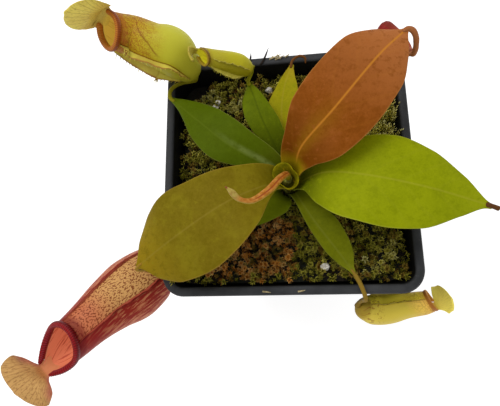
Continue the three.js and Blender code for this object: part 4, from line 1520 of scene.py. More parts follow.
LEAVES = [
    Leaf(
        "leaf_rust", 45, 95.5,
        [[6.1, 0.5, 109.5], [15.9, 7.7, 120.5], [28.3, 20.5, 124.5], [37.6, 29.8, 122]],
        [(0, 4.4), (0.1, 5.2), (0.22, 6.6), (0.4, 11.4), (0.58, 13), (0.76, 11.8), (0.9, 7.5)],
        [(0, 4), (0.1, 4.6), (0.22, 7.4), (0.4, 11.4), (0.55, 11.9), (0.74, 10.7), (0.9, 5.8)],
        [(0, 1.75), (0.12, 1.1), (0.26, 0.35), (0.6, -0.16), (1, -0.3)], (0.5, 3),
        # The lighter tip colour over its outer half is partly painted light, and the darker base colour over its
        # lower half partly painted shade, over the leaf's own rust.
        LeafFinish("rust_leaf", blade="874914", mottle="743c08", base="6c3a06", tip="a86636", patch="985624",
                   sheath="a48e0e", rib="c07c28", edge="ac7438", under="8a5c30", cord="9a6038", mottling=0.5,
                   base_reach=0.5, tip_reach=0.5, sheath_reach=0.2, flush_show=0.65, rib_show=0.75),
        [[36, 28.6, 122.5], [37.7, 29.5, 122.3], [39.1, 29, 122], [40.2, 27.7, 120.5],
         [40.8, 26.4, 117.5], [40.9, 26.1, 114.8], [40.8, 27.4, 112.6]],
        tendril_girth=0.85, runs_on=1.0,
    ),
    Leaf(
        "leaf_bright", -12, 91,
        [[12.8, -7.3, 106], [24.7, -10.4, 112], [41.7, -15.4, 113], [60.8, -20.2, 106]],
        [(0, 2.6), (0.14, 3.4), (0.3, 6.8), (0.42, 12.2), (0.55, 13.4), (0.7, 11.9), (0.85, 6.7)],
        [(0, 2.6), (0.12, 4.4), (0.25, 10.6), (0.4, 13.9), (0.52, 14.2), (0.7, 12), (0.86, 5.6)],
        [(0, 1), (0.15, 0.5), (0.4, 0.12), (0.7, -0.2), (1, -0.3)], (0.5, 2.5),
        LeafFinish("bright_leaf", blade="868f08", mottle="767f04", base="565f0a", tip="90980b", patch="929a0c",
                   sheath="70700a", rib="a09c30", edge="9a9e30", under="8c9630", cord="5c3a1e",
                   base_reach=0.38, rib_show=0.3),
        [[58.6, -19.6, 107], [60.8, -20.2, 106.2], [62.6, -20.8, 105.6]],
    ),
    Leaf(
        "leaf_olive", 207, 93.5,
        [[-8, -10.9, 105], [-20, -17.4, 109.5], [-36, -26.5, 105.5], [-51.1, -34.8, 97]],
        [(0, 2.2), (0.1, 2.3), (0.15, 3.4), (0.2, 5.4), (0.3, 10.3), (0.46, 14.6), (0.6, 15.6), (0.78, 13.6),
         (0.92, 8)],
        [(0, 4.2), (0.06, 6.8), (0.14, 8), (0.3, 9.9), (0.5, 13.1), (0.65, 14.8), (0.8, 13.3), (0.92, 7.8)],
        [(0, 1), (0.12, 0.5), (0.35, 0.1), (0.7, -0.25), (1, -0.4)], (0.6, 3),
        LeafFinish("olive_leaf", blade="746412", mottle="665808", base="766a0e", tip="8c7412", patch="827616",
                   sheath="7c760e", rib="8c7a2c", edge="94762c", under="807434", cord="947226", mottling=0.5,
                   patching=0.55, tip_reach=0.66, rib_show=0.35),
        [[-48.9, -33.6, 98.3], [-51.3, -34.9, 96.6], [-52.4, -35.4, 92], [-51.6, -34.4, 80],
         [-49, -31.6, 66], [-47.3, -29.3, 55.5], [-48.4, -29.1, 50.6], [-51, -30.3, 50.3], [-53.25, -31.7, 51.8]],
        tendril_end=1.2, runs_on=1.5,
    ),
    Leaf(
        "leaf_dark", 142, 90.2,
        [[-7.2, -0.5, 97.5], [-18.3, 5.5, 101.5], [-30, 16, 100.5], [-41.5, 27.7, 95]],
        [(0, 2.6), (0.12, 3.4), (0.3, 4.6), (0.48, 7.3), (0.62, 6.3), (0.78, 3.2), (0.9, 1.4)],
        [(0, 2.6), (0.12, 5.4), (0.3, 7.4), (0.45, 8.5), (0.62, 8), (0.8, 5.6), (0.9, 3.2)],
        [(0, 1), (0.2, 0.4), (0.5, 0), (1, -0.3)], (0.4, 2),
        # This leaf carries the painted sheen beside its midrib.
        LeafFinish("dark_leaf", blade="4a5a05", mottle="445002", base="50580a", tip="526205", patch="52620a",
                   sheath="565c0c", rib="5e6c18", edge="7c8238", under="5c6a2c", cord="827c1a", mottling=0.35,
                   patching=0.3, rib_show=0.3, painted_sheen_show=0.6),
        [[-39.8, 26, 96], [-41.6, 27.8, 95.4], [-42, 30.4, 95], [-41, 33.4, 93.4], [-38.7, 35.8, 91.4],
         [-35.8, 36.8, 90.3], [-33.7, 37, 90.6], [-33, 37.3, 92.2]],
        tendril_end=1.2,
    ),
    Leaf(
        "leaf_mid", 106, 84.8,
        [[-0.6, 1.6, 91.5], [-6.8, 15.2, 97], [-10, 25, 97.5], [-12, 31.5, 95]],
        [(0, 2.6), (0.25, 2.6), (0.4, 2.8), (0.55, 4.8), (0.68, 5.4), (0.8, 4.8), (0.92, 2.4)],
        [(0, 2.6), (0.25, 4.1), (0.42, 5.2), (0.55, 5.5), (0.7, 4.6), (0.82, 3.4), (0.92, 2)],
        [(0, 1), (0.25, 0.3), (0.6, -0.1), (1, -0.3)], (0.3, 2),
        LeafFinish("mid_leaf", blade="5c6908", mottle="4e5c05", base="363f03", tip="68740c", patch="66740b",
                   sheath="2e3804", rib="3a4605", edge="78802c", under="5c6a2c", cord="828014",
                   base_reach=0.66, rib_show=0.45),
        [[-11.5, 30, 95.8], [-12.1, 31.8, 95], [-12, 33.4, 94.8], [-10.9, 35.2, 95.6], [-10.4, 36.4, 97.2]],
        tendril_end=0.95, runs_on=0.8,
    ),
    Leaf(
        "leaf_yellow", 84, 80,
        [[0.4, 3.6, 87], [-0.4, 17.7, 92.5], [0.8, 29, 93], [4.2, 39.5, 92]],
        [(0, 2.4), (0.25, 2.6), (0.42, 6), (0.52, 6.8), (0.66, 5), (0.8, 2.8), (0.9, 1.6)],
        [(0, 2.4), (0.25, 2.9), (0.42, 5), (0.58, 6.4), (0.7, 6), (0.82, 4.6), (0.92, 2.2)],
        [(0, 1), (0.25, 0.3), (0.6, 0), (1, 0.2)], (0.4, 2.5),
        LeafFinish("yellow_leaf", blade="989010", mottle="868008", base="8c700c", tip="9c8820", patch="7e800a",
                   sheath="6c620a", rib="a0902a", edge="a08430", under="8c8630", cord="6c4420",
                   patching=0.5, base_reach=0.5, rib_show=0.4),
        [[3.6, 38, 92.4], [4.4, 40.6, 92.8], [6.8, 42, 93.2], [9, 41.4, 92.8], [9.2, 39.8, 91.6]],
        tendril_girth=0.5, tendril_end=0.2,
    ),
    Leaf(
        "leaf_low_right", -58, 86,
        [[4.2, -11, 91], [9.5, -21, 95.5], [16.2, -30.7, 95.5], [21.6, -38.1, 92]],
        [(0, 2.6), (0.2, 3.8), (0.4, 5.5), (0.55, 6.3), (0.7, 5.6), (0.85, 3.9)],
        [(0, 2.4), (0.2, 2), (0.4, 2.6), (0.55, 3.1), (0.7, 3.3), (0.85, 2.4)],
        [(0, 1), (0.25, 0.5), (0.6, 0.2), (1, 0.2)], (0.3, 2),
        LeafFinish("low_right_leaf", blade="656a0a", mottle="565c07", base="585e0a", tip="747816", patch="70740f",
                   sheath="565a0a", rib="707424", edge="7e8230", under="5f6b2c", cord="866c28",
                   base_reach=0.35, rib_show=0.45),
        [[20.6, -36.8, 92.6], [22.2, -39.2, 91.8], [23.6, -42.2, 91.7], [24.6, -45.2, 91.3],
         [25.2, -46.9, 88.6], [25.2, -47.2, 83], [24.6, -47.9, 78], [24.2, -48.9, 75.6]],
        tendril_end=1.0, runs_on=1.0,
    ),
    Leaf(
        "leaf_hidden", 212, 82,
        [[-4, -9.8, 88.5], [-9.5, -13.2, 91.5], [-16, -17.5, 91], [-22, -21.5, 88.5]],
        [(0, 2.6), (0.1, 4.4), (0.2, 6.8), (0.3, 8), (0.5, 7.4), (0.8, 4.4)],
        [(0, 2.6), (0.2, 4.4), (0.5, 5.2), (0.8, 3.6)],
        [(0, 1), (0.3, 0.3), (1, -0.2)], (0.3, 1.5),
        LeafFinish("hidden_leaf", blade="6c780c", mottle="5e6a0a", base="606c0a", tip="5a640a", patch="78840e",
                   sheath="50580a", rib="666e18", edge="666c26", under="50582a", cord="50582a", mottling=0.5,
                   patching=0.0),
    ),
]


@dataclass
class NewLeaf:
    """The newest leaf, still rolled into a spindle with a crease, ending in a bud."""

    path: Points = ((1.3, -6.2, 98), (1.1, -6.6, 104), (-1, -9.8, 110.5), (-4, -14.6, 116), (-8.2, -18.6, 121),
                    (-11.4, -18.9, 124.4), (-13.3, -17.2, 126.6), (-14.6, -16.2, 128.4))
    radius: Stations = ((0, 1), (0.2, 1.1), (0.45, 1.22), (0.68, 1), (0.83, 0.72), (0.92, 0.92), (0.965, 0.5),
                        (1, 0.15))
    groove: float = 0.38
    sides: int = 40
    finish: RolledLeafFinish = RolledLeafFinish("rolled_leaf")

    def build(self) -> None:
        """A cord with a narrow crease, and marks that follow it."""
        shares = np.linspace(0, 1, 120)
        rings = cord_rings(Course(self.path), eased(self.radius, shares), shares, self.sides, self.groove)
        marks = marked(rings.shape[:2], (half_turns(self.sides), shares[:, None], 0))
        Shell().add_rings(rings, marks).build("rolled_leaf_spindle", self.finish, "leaf_new", ["leaf_new"])


# Pitchers


@dataclass(frozen=True)
class Wings:
    """The two fringed wings on a pitcher's front, in radians, shares and millimetres.

    They stand at middle + angle and middle - angle from the front. blunt is the share over which the left and
    the right wing narrow to their ends by the mouth, and ruffle is the height of their waves.
    """

    angle: float
    start: float
    end: float
    width: float
    hair: float
    hairs: int
    middle: float = 0.0
    blunt: tuple[float, float] = (0.5, 0.5)
    ruffle: float = 0.2
    splay: float = 0.25
    thickness: float = 0.34
    hair_radius: float = 0.13


@dataclass(frozen=True)
class Lip:
    """The ribbed lip round the mouth. open is the half angle left free at the back, in radians."""

    wide: float
    high: float
    ribs: int
    open: float
    finish: LipFinish


@dataclass(frozen=True)
class Lid:
    """The lid on its neck at the back of the mouth.

    The midrib holds (height, distance back). tilt turns the lid about its midrib, in radians. other_half is the
    width on its right where the two sides differ.
    """

    midrib: Points
    half: Stations
    curl: Stations
    finish: LidFinish
    tilt: float = 0.0
    other_half: Stations | None = None


@dataclass
class Pitcher:
    """An open pitcher: a cup on a curved axis, two wings, a lip and a lid, in millimetres.

    The mouth's front stands lower by the share oblique of the axis, and its back is narrower by pinch.
    """

    node: str
    axis: Points
    front: tuple[float, float, float]
    radius: Stations
    wall: float
    oblique: float
    pinch: float
    wings: Wings
    lip: Lip
    lid: Lid
    finish: CupFinish
    around: int = 96
    along: int = 84

    def __post_init__(self) -> None:
        """Works the axis out."""
        self.course = Course(self.axis)

    def level(self, v: Array, theta: Array) -> Array:
        """The share of the axis for share v of the wall, lower towards the front near the mouth."""
        return v * (1 - self.oblique * (1 + np.cos(theta)) / 2 * smooth(v, *SLANT))

    def frames(self, s: Array) -> tuple[Array, Array, Array]:
        """The centre, the direction to the front and the direction to the side at shares of the axis."""
        heading = self.course.heading(s)
        ahead = square_to(np.array(self.front), heading)
        return self.course.place(s), ahead, np.cross(heading, ahead)

    def wall_point(self, v: Array, theta: Array, offset: Array | float) -> Array:
        """Points on the wall.

        centre(s) + (radius(s) + offset) (front cos theta + side n sin theta), with s the level at v and theta.
        n falls from 1 by pinch towards the back of the mouth, which makes the mouth a drop.

        Args:
            v: shares from the foot to the mouth.
            theta: angles from the front.
            offset: millimetres outwards from the wall's outer face.

        Returns:
            Points in metres.
        """
        v, theta, offset = np.broadcast_arrays(v, theta, offset)
        s = self.level(v, theta)
        centre, ahead, side = self.frames(s)
        reach = MM * (eased(self.radius, s) + offset)[..., None]
        narrow = 1 - self.pinch * (1 - np.cos(theta)) / 2 * smooth(v, *SLANT)
        return centre + reach * (np.cos(theta)[..., None] * ahead + (narrow * np.sin(theta))[..., None] * side)

    def mouth(self) -> tuple[Array, Array, Array, Array]:
        """The mouth's plane.

        Returns:
            Its centre, the way it faces, the way to its back and the point at its back.
        """
        angles = np.array([0.0, math.pi, math.pi / 2, -math.pi / 2])
        low, high, one, two = self.wall_point(np.ones(4), angles, -self.wall / 2)
        back = unit(high - low)
        facing = unit(np.cross(one - two, back))
        return (low + high) / 2, facing * np.sign(facing @ self.course.slopes[-1]), back, high

    def build_cup(self) -> None:
        """The hollow cup: up the outside, over the edge and down the inside, with its wings."""
        theta = circle(self.around)[None]
        rise = np.linspace(0, 1, self.along) ** 1.1
        outer = np.concatenate([rise, np.ones(3)])[:, None]
        inner = rise[::-1][:-6][:, None]
        v = np.concatenate([outer, inner])
        edge = np.array([0.12, 0.5, 0.88]) * -self.wall
        offset = np.concatenate([np.zeros(self.along), edge, np.full(len(inner), -self.wall)])[:, None]
        swell = 0.12 * np.sin(5 * theta + 2 * v) * np.sin(math.pi * v)
        rings = self.wall_point(v, theta, offset + swell)
        inside = smooth(-offset / self.wall, 0.6, 0.95)
        signed = np.mod(theta - self.wings.middle + math.pi, 2 * math.pi) - math.pi
        ground = (signed * eased(self.radius, v), v * self.course.length / MM, 0)
        shell = Shell().add_rings(rings, marked(rings.shape[:2], (signed / math.pi, v, inside), ground))
        for hand in (1, -1):
            self.add_wing(shell, hand)
        self.finish_part(shell, "wall", self.finish, "cup")

    def add_wing(self, shell: Shell, hand: int) -> None:
        """Adds one wing and its hairs.

        The wing is a ribbon from inside the wall out to its width, which swells from the foot and narrows to
        the mouth as a square root, and it is ruffled by two waves.

        Args:
            shell: where it goes.
            hand: 1 for the left wing and -1 for the right.
        """
        wings = self.wings
        blunt = wings.blunt[0 if hand > 0 else 1]
        way = np.linspace(0, 1, 90)
        s = wings.start + (wings.end - wings.start) * way
        centre, ahead, side = self.frames(s)
        theta = wings.middle + hand * wings.angle
        out, beside = turned(theta, ahead, side), hand * turned(theta, side, -ahead)
        width = wings.width * smooth(way, -0.12, 0.4) * np.sqrt(np.clip((1.005 - way) / blunt, 0, 1))
        ruffle = wings.ruffle * (np.sin(way * 26 + hand) + 0.6 * np.sin(way * 61 + 2 * hand))
        depth = np.linspace(0, 1, 6)
        reach = -0.5 * self.wall * (1 - depth)[None] + width[:, None] * depth[None]
        lean = wings.splay * np.maximum(0, reach) + ruffle[:, None] * depth[None] ** 2
        middle = (centre[:, None] + MM * (eased(self.radius, s)[:, None] + reach)[..., None] * out[:, None]
                  + MM * lean[..., None] * beside[:, None])
        half = MM * wings.thickness / 2 * (1 - 0.55 * depth)[None, :, None] * beside[:, None]
        rings = np.concatenate([middle + half, (middle - half)[:, ::-1]], axis=1)
        fin = 1 + np.concatenate([depth, depth[::-1]])[None]
        shell.add_rings(rings, marked(rings.shape[:2], (hand * wings.angle / math.pi, s[:, None], 0), (0, 0, fin)))
        if wings.hair:
            self.add_hairs(shell, middle[:, -1], out, self.course.heading(s), hand)

    def add_hairs(self, shell: Shell, edge: Array, out: Array, ahead: Array, hand: int) -> None:
        """Adds the hairs on a wing's edge.

        Hair k is a cone of five sides in four rings: base + out d + along bow d^2, with a radius that falls
        to a point.

        Args:
            shell: where they go.
            edge: points on the wing's edge.
            out: the wing's direction at them.
            ahead: the axis direction at them.
            hand: which wing, for a different draw.
        """
        rng = np.random.default_rng(40 + hand + len(self.node))
        pick = np.linspace(3, len(edge) - 4, self.wings.hairs).astype(int)
        length = MM * self.wings.hair * rng.uniform(0.4, 0.9, len(pick)) * (1 + (pick / len(edge)) ** 4)
        bow = rng.uniform(-0.35, 0.6, len(pick))
        step = np.linspace(0, 1, 4)
        radius = MM * self.wings.hair_radius * (1 - 0.85 * step)
        for k, at in enumerate(pick):
            line = edge[at] + length[k] * (step[:, None] * out[at] + bow[k] * (step**2)[:, None] * ahead[at])
            ring = turned(circle(5), np.cross(out[at], ahead[at]), ahead[at])
            rings = line[:, None] + radius[:, None, None] * ring
            shell.add_rings(rings, marked(rings.shape[:2], (0, 0.5, 0), (0, 0, 1.6)))

    def build_lip(self) -> None:
        """The lip: a rolled ring round the mouth, with fine ribs across it and pointed ends at the back.

        A ring at angle a of its section reaches wide cos a outwards. It stands high sin a over its middle, and
        below the middle it is drawn down to the wall's edge, (seat + high) sin a.
        """
        lip = self.lip
        centre, facing, _, _ = self.mouth()
        reach = math.pi - lip.open
        theta = np.linspace(-reach, reach, lip.ribs * 6 + 1)
        edge = self.wall_point(np.ones(len(theta)), theta, -self.wall / 2)
        outward = square_to(edge - centre, np.broadcast_to(facing, edge.shape))
        swell = (0.4 + 0.6 * smooth(1 - np.abs(theta) / reach, 0.0, 0.06))[:, None]
        ridge = (0.5 + 0.5 * np.cos(theta / reach * math.pi * lip.ribs))[:, None]
        angle = circle(20)[None]
        out = lip.wide * swell * (0.9 + 0.1 * ridge) * np.cos(angle) + 0.2 * lip.wide
        over = lip.high * (0.9 + 0.1 * ridge) * np.maximum(0, np.sin(angle))
        under = (SEAT + lip.high) * np.minimum(0, np.sin(angle))
        up = (over + under) * swell + SEAT + lip.high
        rings = edge[:, None] + MM * (out[..., None] * outward[:, None] + up[..., None] * facing)
        shell = Shell().add_rings(rings, marked(rings.shape[:2], (ridge, 0, np.cos(angle))))
        self.finish_part(shell, "rim", lip.finish, "lip")

    def build_lid(self) -> None:
        """The lid: a round blade whose midrib runs in the mouth's plane of symmetry.

        The tilt grows over its first quarter. Its neck runs down the inside of the wall as a tongue: point u
        across is on the wall at angle pi + u open from the front, where open narrows downwards, and the upper
        face is a little proud of the lining.
        """
        lid = self.lid
        _, facing, back, high = self.mouth()
        foot = high + MM * SEAT * facing
        points = np.array([foot + MM * (up * facing + away * back) for up, away in lid.midrib]) / MM
        blade = Blade(Course(points), lid.half, lid.other_half or lid.half, lid.curl, (0.25, 1.5), 0.3,
                      across=31, rib_width=1.0)
        shares = 1 - (1 - np.linspace(0, 1, 70)) ** 1.6
        tilt = lid.tilt * smooth(shares, -0.02, 0.25)
        rings, marks = blade.shell(turned(tilt, np.cross(facing, back), facing), shares)
        v = np.array([0.92, 0.94, 0.955, 0.97, 0.985])[:, None]
        u, under = marks["span"][:1, :, 0], marks["span"][:1, :, 2]
        proud = 0.25 * (1 - under) * (1 - u**2) * smooth(v, 0.93, 0.98) - 0.3 * (1 - smooth(v, 0.92, 0.95))
        angle = u * (self.lip.open + 0.1) * (0.1 + 0.9 * smooth(v, 0.91, 0.97))
        neck = self.wall_point(v, math.pi + angle, -self.wall * (1 - 0.5 * under) - proud)
        neck_marks = marked(neck.shape[:2], (u, v - 1, under), (3 * u, 20 * (v - 1), 0))
        marks = {name: np.concatenate([neck_marks[name], marks[name]]) for name in marks}
        shell = Shell().add_rings(np.concatenate([neck, rings]), marks)
        self.finish_part(shell, "cover", lid.finish, "lid")

    def finish_part(self, shell: Shell, form: str, finish: Finish, part: str) -> None:
        """Makes a shell the piece that stands for one of the pitcher's nodes."""
        node = f"{self.node}_{part}"
        shell.build(f"{self.node}_{form}", finish, node, [node])

    def build(self) -> None:
        """Makes the cup, the lip and the lid."""
        self.build_cup()
        self.build_lip()
        self.build_lid()


PITCHERS = [
    Pitcher(
        "pitcher_red",
        [[-53.6, -31.9, 52], [-60.6, -36, 58.6], [-66.3, -41.9, 64.8], [-71.6, -47.4, 70.9], [-76.8, -53.9, 76.9],
         [-85.3, -62.7, 80], [-91.4, -69.5, 84.3]],
        (0.28, 0.31, 0.85),
        [(0, 1.4), (0.04, 6), (0.15, 12.2), (0.32, 13.4), (0.5, 11.4), (0.68, 9.7), (0.8, 9.3), (0.9, 8.4),
         (1, 6.8)],
        1.0, 0.278, 0.317,
        Wings(0.57, 0.1, 0.74, 1.1, 0.0, 0),
        Lip(1.25, 0.95, 60, 0.6, LipFinish("crimson_lip", "98141a", "66080c", "8a2c36", "50070a")),
        Lid([[0, 0], [1.6, 0.4], [5.4, 0.8], [8, 3], [10, 5.4]],
            [(0, 3.3), (0.12, 4.7), (0.3, 9.6), (0.52, 11.5), (0.76, 10.9), (0.86, 9.2), (0.92, 7.4), (0.97, 4.8),
             (1, 0.8)],
            [(0, 0.5), (0.3, 0.1), (1, -0.3)],
            LidFinish("cream_lid", blade="cc9e60", neck="bc804a", throat="bc7650", ear="ae6450", edge="b0884e",
                      fleck="84502c", ears=0.95, glow=0.4),
            tilt=-0.47),
        CupFinish("red_cup", belly="8a2014", front="cf9c5e", throat="c2704a", side="b4522e", streak="c07850",
                  neck="861c1a", foot="b8864e", fleck="743016", inside="c47050", inner_fleck="8c2a1c",
                  wing="a4503a", wing_edge="8c3020", dark_line_and_shade="64100e", collar="6c1214", front_flecks=0.85,
                  streaking=0.85, collar_start=0.93, collar_show=0.7, neck_start=0.64, neck_show=0.75,
                  front_width=0.181, dark_line_and_shade_show=0.8, left_light=0.07, glow=0.4),
    ),
    Pitcher(
        "pitcher_green",
        [[-33.1, 37.1, 91.8], [-35.9, 39.8, 97.8], [-39.5, 42.3, 103], [-45.2, 43.8, 105.2], [-51.9, 46.6, 106.9],
         [-56.1, 46.7, 110.3], [-59.2, 46.7, 113.9]],
        (0.05, -0.98, 0.15),
        [(0, 1.5), (0.05, 3.9), (0.18, 6.8), (0.35, 8.6), (0.55, 7.6), (0.72, 7.3), (0.8, 6.9), (0.88, 6.4),
         (0.94, 6), (1, 5.5)],
        1.0, 0.124, 0.0,
        Wings(0.46, 0.1, 0.88, 3.3, 1.7, 22, middle=-0.28, blunt=(0.1, 0.6), ruffle=0.34),
        Lip(0.95, 0.8, 48, 0.66, LipFinish("rust_lip", "be7626", "9c541a", "b88434", "74280c")),
        Lid([[0, 0], [1.3, 0.9], [5.6, -0.6], [11, -0.9], [14.4, -1.1]],
            [(0, 5.9), (0.08, 6.3), (0.16, 7.3), (0.3, 8.3), (0.55, 8.2), (0.78, 6.5), (0.93, 3.4), (1, 0.6)],
            [(0, 0.6), (0.4, 0.2), (1, -0.2)],
            LidFinish("yellow_lid", blade="e6d462", neck="d4bc58", throat="ac9238", ear="b8702c", edge="ccb050",
                      fleck="8c7020", flecks=0.3, ears=0.3, glow=0.5, throat_end=0.0),
            tilt=0.29),
        CupFinish("green_cup", belly="b8b22e", front="a8a028", throat="ac9c2c", side="bcb83c", neck="b4941f",
                  foot="9c981e", fleck="8c3c14", inside="b29438", inner_fleck="987428", wing="ccc04c",
                  wing_edge="9c7030", dark_line_and_shade="74300f", collar="a0581c", net=0.9, collar_start=0.94, collar_show=0.7,
                  neck_start=0.5, front_width=0.146, fleck_size=1.2, dark_line_and_shade_show=0.75, vein_show=0.6, glow=0.55),
    ),
    Pitcher(
        "pitcher_small",
        [[-10.9, 34.4, 97.6], [-13.3, 35.1, 100.4], [-16.8, 35.4, 102.8], [-21.3, 35.6, 105.4], [-27, 36, 108.9]],
        (0.2, -0.92, 0.33),
        [(0, 0.9), (0.03, 1.9), (0.08, 2.7), (0.3, 4.1), (0.55, 3.7), (0.8, 3), (1, 2.6)],
        0.7, 0.18, 0.0,
        Wings(0.5, 0.14, 0.78, 1.2, 0.9, 20),
        Lip(0.45, 0.4, 30, 0.75, LipFinish("brown_lip", "a08820", "8c7018", "a89424", "5c3c10")),
        Lid([[0, 0], [1.6, 0.6], [3.2, 0], [4.6, -1.6], [5.2, -3.8]],
            [(0, 1), (0.2, 1.2), (0.45, 2), (0.75, 1.7), (1, 0.6)],
            [(0, 0.6), (0.4, 0.2), (1, 0)],
            LidFinish("small_lid", blade="b8ac40", neck="a89830", throat="aca41c", edge="b0983c", flecks=0.2,
                      glow=0.6),
            tilt=-0.9),
        CupFinish("small_cup", belly="b2a922", front="948a12", throat="9c921a", side="b8b02e", neck="b0a62c",
                  foot="8c8414", fleck="906420", inside="aca41c", inner_fleck="948c18", wing="a89e2e",
                  wing_edge="c0b450", dark_line_and_shade="786812", net=0.15, collar_show=0.2, front_width=0.16, dark_line_and_shade_show=0.4,
                  glow=0.6),
        around=64, along=56,
    ),
    Pitcher(
        "pitcher_low",
        [[24.9, -49.6, 74.6], [27.4, -50.4, 73], [33.2, -50.9, 72], [40.1, -49.6, 73.5], [45.3, -48.8, 75],
         [50.7, -48.2, 75.5]],
        (-0.3, 0.71, 0.64),
        [(0, 1.1), (0.02, 2.5), (0.06, 3.8), (0.22, 5.4), (0.42, 5.3), (0.7, 4.4), (0.88, 4.1), (1, 3.4)],
        0.9, 0.13, 0.0,
        Wings(0.46, 0.12, 0.74, 1.4, 0.5, 14),
        Lip(0.45, 0.35, 36, 0.7, LipFinish("orange_lip", "c88c34", "b07430", "cc9c4c", "94581c")),
        Lid([[0, 0], [1.6, 0.2], [3.4, 0.1], [5, -0.2], [6.2, -0.6]],
            [(0, 2), (0.1, 5.6), (0.3, 8.8), (0.6, 8.6), (0.85, 6), (0.95, 3.4), (1, 0.8)],
            [(0, 0.3), (0.4, 0.15), (1, 0)],
            LidFinish("low_lid", blade="fcec6c", neck="f0e05c", throat="b08c38", edge="f4e060", fleck="b49838",
                      flecks=0.2, rays=0.15),
            other_half=[(0, 1.8), (0.3, 3), (0.5, 5.2), (0.75, 5.2), (0.92, 3), (1, 0.8)]),
        CupFinish("low_cup", belly="ceb842", front="f2de40", throat="e0c83c", side="dcc450", neck="f0c658",
                  foot="ac9030", fleck="8c5420", inside="bc8c38", inner_fleck="9c5c20", wing="b8a840",
                  wing_edge="7c6420", dark_line_and_shade="746018", collar="c0702c", net=0.5, foot_flecks=0.7, collar_show=0.25,
                  neck_start=0.75, front_width=0.146, fleck_size=1.1),
        around=72, along=64,
    ),
]


@dataclass
class YoungPitcher:
    """The closed young pitcher behind the rust leaf's tip."""

    path: Points = ((40.9, 28.6, 111.9), (40.2, 31.4, 110.5), (38, 35.2, 109.3), (35.2, 38.4, 109),
                    (33.2, 40.4, 109.3))
    radius: Stations = ((0, 0.9), (0.3, 1.7), (0.6, 2.5), (0.85, 2.8), (0.96, 2.2), (1, 1.2))
    length: float = 16.0
    sides: int = 40
    finish: CupFinish = CupFinish(
        "young_cup", belly="922c22", front="984028", throat="7c2a20", side="8c2820", streak="b46c4c", neck="882018",
        foot="9a5a44", fleck="5c100c", collar="6c1810", streaking=0.6)

    def build(self) -> None:
        """A closed pod: a cord whose radius swells and falls again."""
        shares = np.linspace(0, 1, 50)
        radius = eased(self.radius, shares)
        rings = cord_rings(Course(self.path), radius, shares, self.sides)
        around, along = half_turns(self.sides), shares[:, None]
        ground = (around * math.pi * radius[:, None], along * self.length, 0)
        shell = Shell().add_rings(rings, marked(rings.shape[:2], (around, along, 0), ground))
        shell.build("young_pitcher_pod", self.finish, "pitcher_young", ["pitcher_young"])


# Litter on the moss and the rim


@dataclass
class Litter:
    """White grit in the moss, and dry bits of straw on the rim, in millimetres.

    A grain is (x, y, radius), and a twig or a wisp is (x, y) of both its ends.
    """

    seed: int = 5
    proud: float = 4.6
    grit: Points = ((-5.2, 33.6, 1.3), (12.6, -35.6, 1.5), (-26.4, 27.2, 1.3), (-25.2, 29, 1.1), (22, 34, 0.7),
                    (-35, -8, 0.6))
    twigs: Points = ((-12.5, 42.4, -11.4, 46.4), (-7.8, 41.6, -4.6, 48))
    wisps: Points = ((-2.2, 43.3, 1.6, 44.4), (-4.4, 43.6, 0.4, 45), (-3.4, 44.6, -0.8, 43),
                     (-1.4, 45.2, -0.2, 42.8), (1.6, 44, 3.4, 44.8), (-13.4, 43.6, -12.2, 44.2),
                     (-9, -43.6, -6.2, -44), (3, -43.8, 5.4, -43.4))

    def build_grit(self, moss: MossBed) -> None:
        """Lumpy grains: a sphere with radius 1 + crossed waves, among the tips of the moss."""
        shell = Shell()
        rng = np.random.default_rng(self.seed)
        polar = np.linspace(0.12, math.pi - 0.12, 14)[:, None]
        turn = circle(22)[None]
        for x, y, radius in self.grit:
            a, b, c = rng.uniform(0, 6, 3)
            lump = 1 + 0.16 * np.sin(3 * turn + a) * np.sin(2 * polar + b) + 0.1 * np.cos(5 * polar + c)
            ball = vectors(np.sin(polar) * np.cos(turn), 0.85 * np.sin(polar) * np.sin(turn), 0.8 * np.cos(polar),
                           lump.shape) * lump[..., None] * radius
            top = float(moss.height(np.array([x]), np.array([y]))[0])
            shell.add_rings((ball + np.array([x, y, top + self.proud])) * MM)
        shell.build("white_grit", PlainFinish("grit", "dcd8cc", "a8a294", 1200.0, 0.85), "moss_pale")

    def build_straws(self) -> None:
        """Thin bent cords that lie over the rim: two dark twigs and some pale wisps."""
        shares = np.linspace(0, 1, 16)
        dark = PlainFinish("dark_twig", "2a2018", "120c08", 1500.0, 0.8)
        straw = PlainFinish("dry_straw", "cdbf94", "8c7a54", 1500.0, 0.8)
        for name, lines, girth, finish in (("twigs", self.twigs, 0.42, dark), ("straws", self.wisps, 0.3, straw)):
            shell = Shell()
            for x0, y0, x1, y1 in lines:
                line = Course([[x0, y0, POT_HEIGHT + 0.1], [(x0 + x1) / 2 + 0.3, (y0 + y1) / 2, POT_HEIGHT + 0.6],
                               [x1, y1, POT_HEIGHT + 1]])
                radius = girth * eased([(0, 1), (0.6, 0.8), (1, 0.25)], shares)
                shell.add_rings(cord_rings(line, radius, shares, 8))
            shell.build(name, finish, "moss_orange")


# Studio


def stand_at(piece: bpy.types.Object, place: Sequence[float], axes: Sequence[Sequence[float]]) -> None:
    """Puts a camera or a light in its place.

    Args:
        piece: the camera or light.
        place: where it stands, in metres.
        axes: the unit vectors to its right, up and back.
    """
    matrix = np.eye(4)
    matrix[:3, :3], matrix[:3, 3] = np.transpose(axes), place
    piece.matrix_world = Matrix(matrix.tolist())


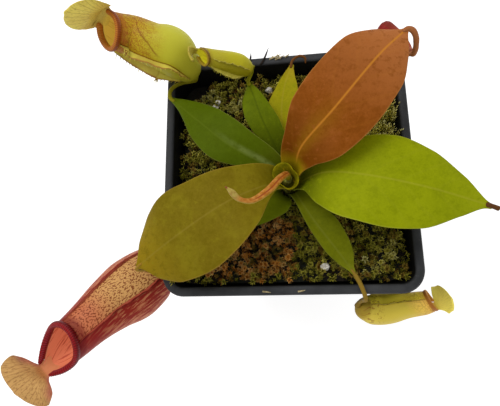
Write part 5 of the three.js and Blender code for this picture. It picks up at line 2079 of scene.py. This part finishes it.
@dataclass
class Studio:
    """The floor, the lights and the camera. stand is the camera's place, in millimetres, and its axes follow."""

    lens: float = 28.8
    sensor: float = 36.0
    stand: tuple[float, float, float] = (4.46, -42.78, 229.06)
    right: tuple[float, float, float] = (0.9918, -0.016, -0.1269)
    down: tuple[float, float, float] = (-0.0423, -0.9774, -0.207)
    ahead: tuple[float, float, float] = (-0.1207, 0.2106, -0.9701)
    floor_half: float = 3.0

    def build_camera(self) -> None:
        """A camera above the near edge of the pot, looking down."""
        data = bpy.data.cameras.new("camera")
        data.lens, data.sensor_width, data.clip_start = self.lens, self.sensor, 0.005
        camera = show("camera", data)
        stand_at(camera, np.array(self.stand) * MM, (self.right, -np.array(self.down), -np.array(self.ahead)))
        bpy.context.scene.camera = camera

    def build_light(self, name: str, place: tuple[float, float, float], side: float, power: float) -> None:
        """A square light that looks at the middle of the plant.

        Args:
            name: its name.
            place: where it hangs, in metres.
            side: its width, in metres.
            power: its power, in watts.
        """
        data = bpy.data.lights.new(name, "AREA")
        data.shape, data.size, data.energy = "SQUARE", side, power
        back = unit(np.array(place) - POT_HEIGHT * MM * UP)
        right = unit(np.cross([0.0, 1.0, 0.1], back))
        stand_at(show(name, data), place, (right, np.cross(back, right), back))

    def build_floor(self) -> None:
        """A pale floor that runs past every view."""
        mesh = bpy.data.meshes.new("floor")
        far = self.floor_half
        mesh.from_pydata([(-far, -far, 0), (far, -far, 0), (far, far, 0), (-far, far, 0)], [], [(0, 1, 2, 3)])
        mesh.materials.append(FloorFinish("pale_floor").material())
        show("floor", mesh)

    def build(self) -> None:
        """Sets up the view, the lights and the soft sky."""
        self.build_camera()
        self.build_floor()
        self.build_light("key_light", (-0.28, 0.3, 0.75), 0.45, 3.3)
        self.build_light("fill_light", (0.5, -0.3, 0.6), 0.8, 0.6)
        world = bpy.data.worlds.new("studio_sky")
        world.use_nodes = True
        sky = world.node_tree.nodes["Background"]
        sky.inputs["Color"].default_value = (1.0, 1.0, 1.0, 1.0)
        sky.inputs["Strength"].default_value = 0.6
        bpy.context.scene.world = world
        bpy.context.scene.view_settings.view_transform = "Standard"


def main() -> None:
    """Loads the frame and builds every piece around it."""
    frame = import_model()
    soil = PlainFinish("damp_soil", "3a281a", "0c0805", 420.0, 0.9, 0.5, (6.0, 0.7), (0.4, 0.72), 1.2)
    block = frame["nodes"]["growing_medium"]
    block.data.materials.clear()
    block.data.materials.append(soil.material())
    Studio().build()
    Pot().build()
    moss = MossBed()
    moss.build()
    Stem().build()
    Sheath().build()
    for leaf in LEAVES:
        leaf.build()
    NewLeaf().build()
    for pitcher in PITCHERS:
        pitcher.build()
    YoungPitcher().build()
    litter = Litter()
    litter.build_grit(moss)
    litter.build_straws()


if __name__ == "__main__":
    logging.basicConfig(level=logging.INFO, format="%(name)s: %(message)s")
    main()
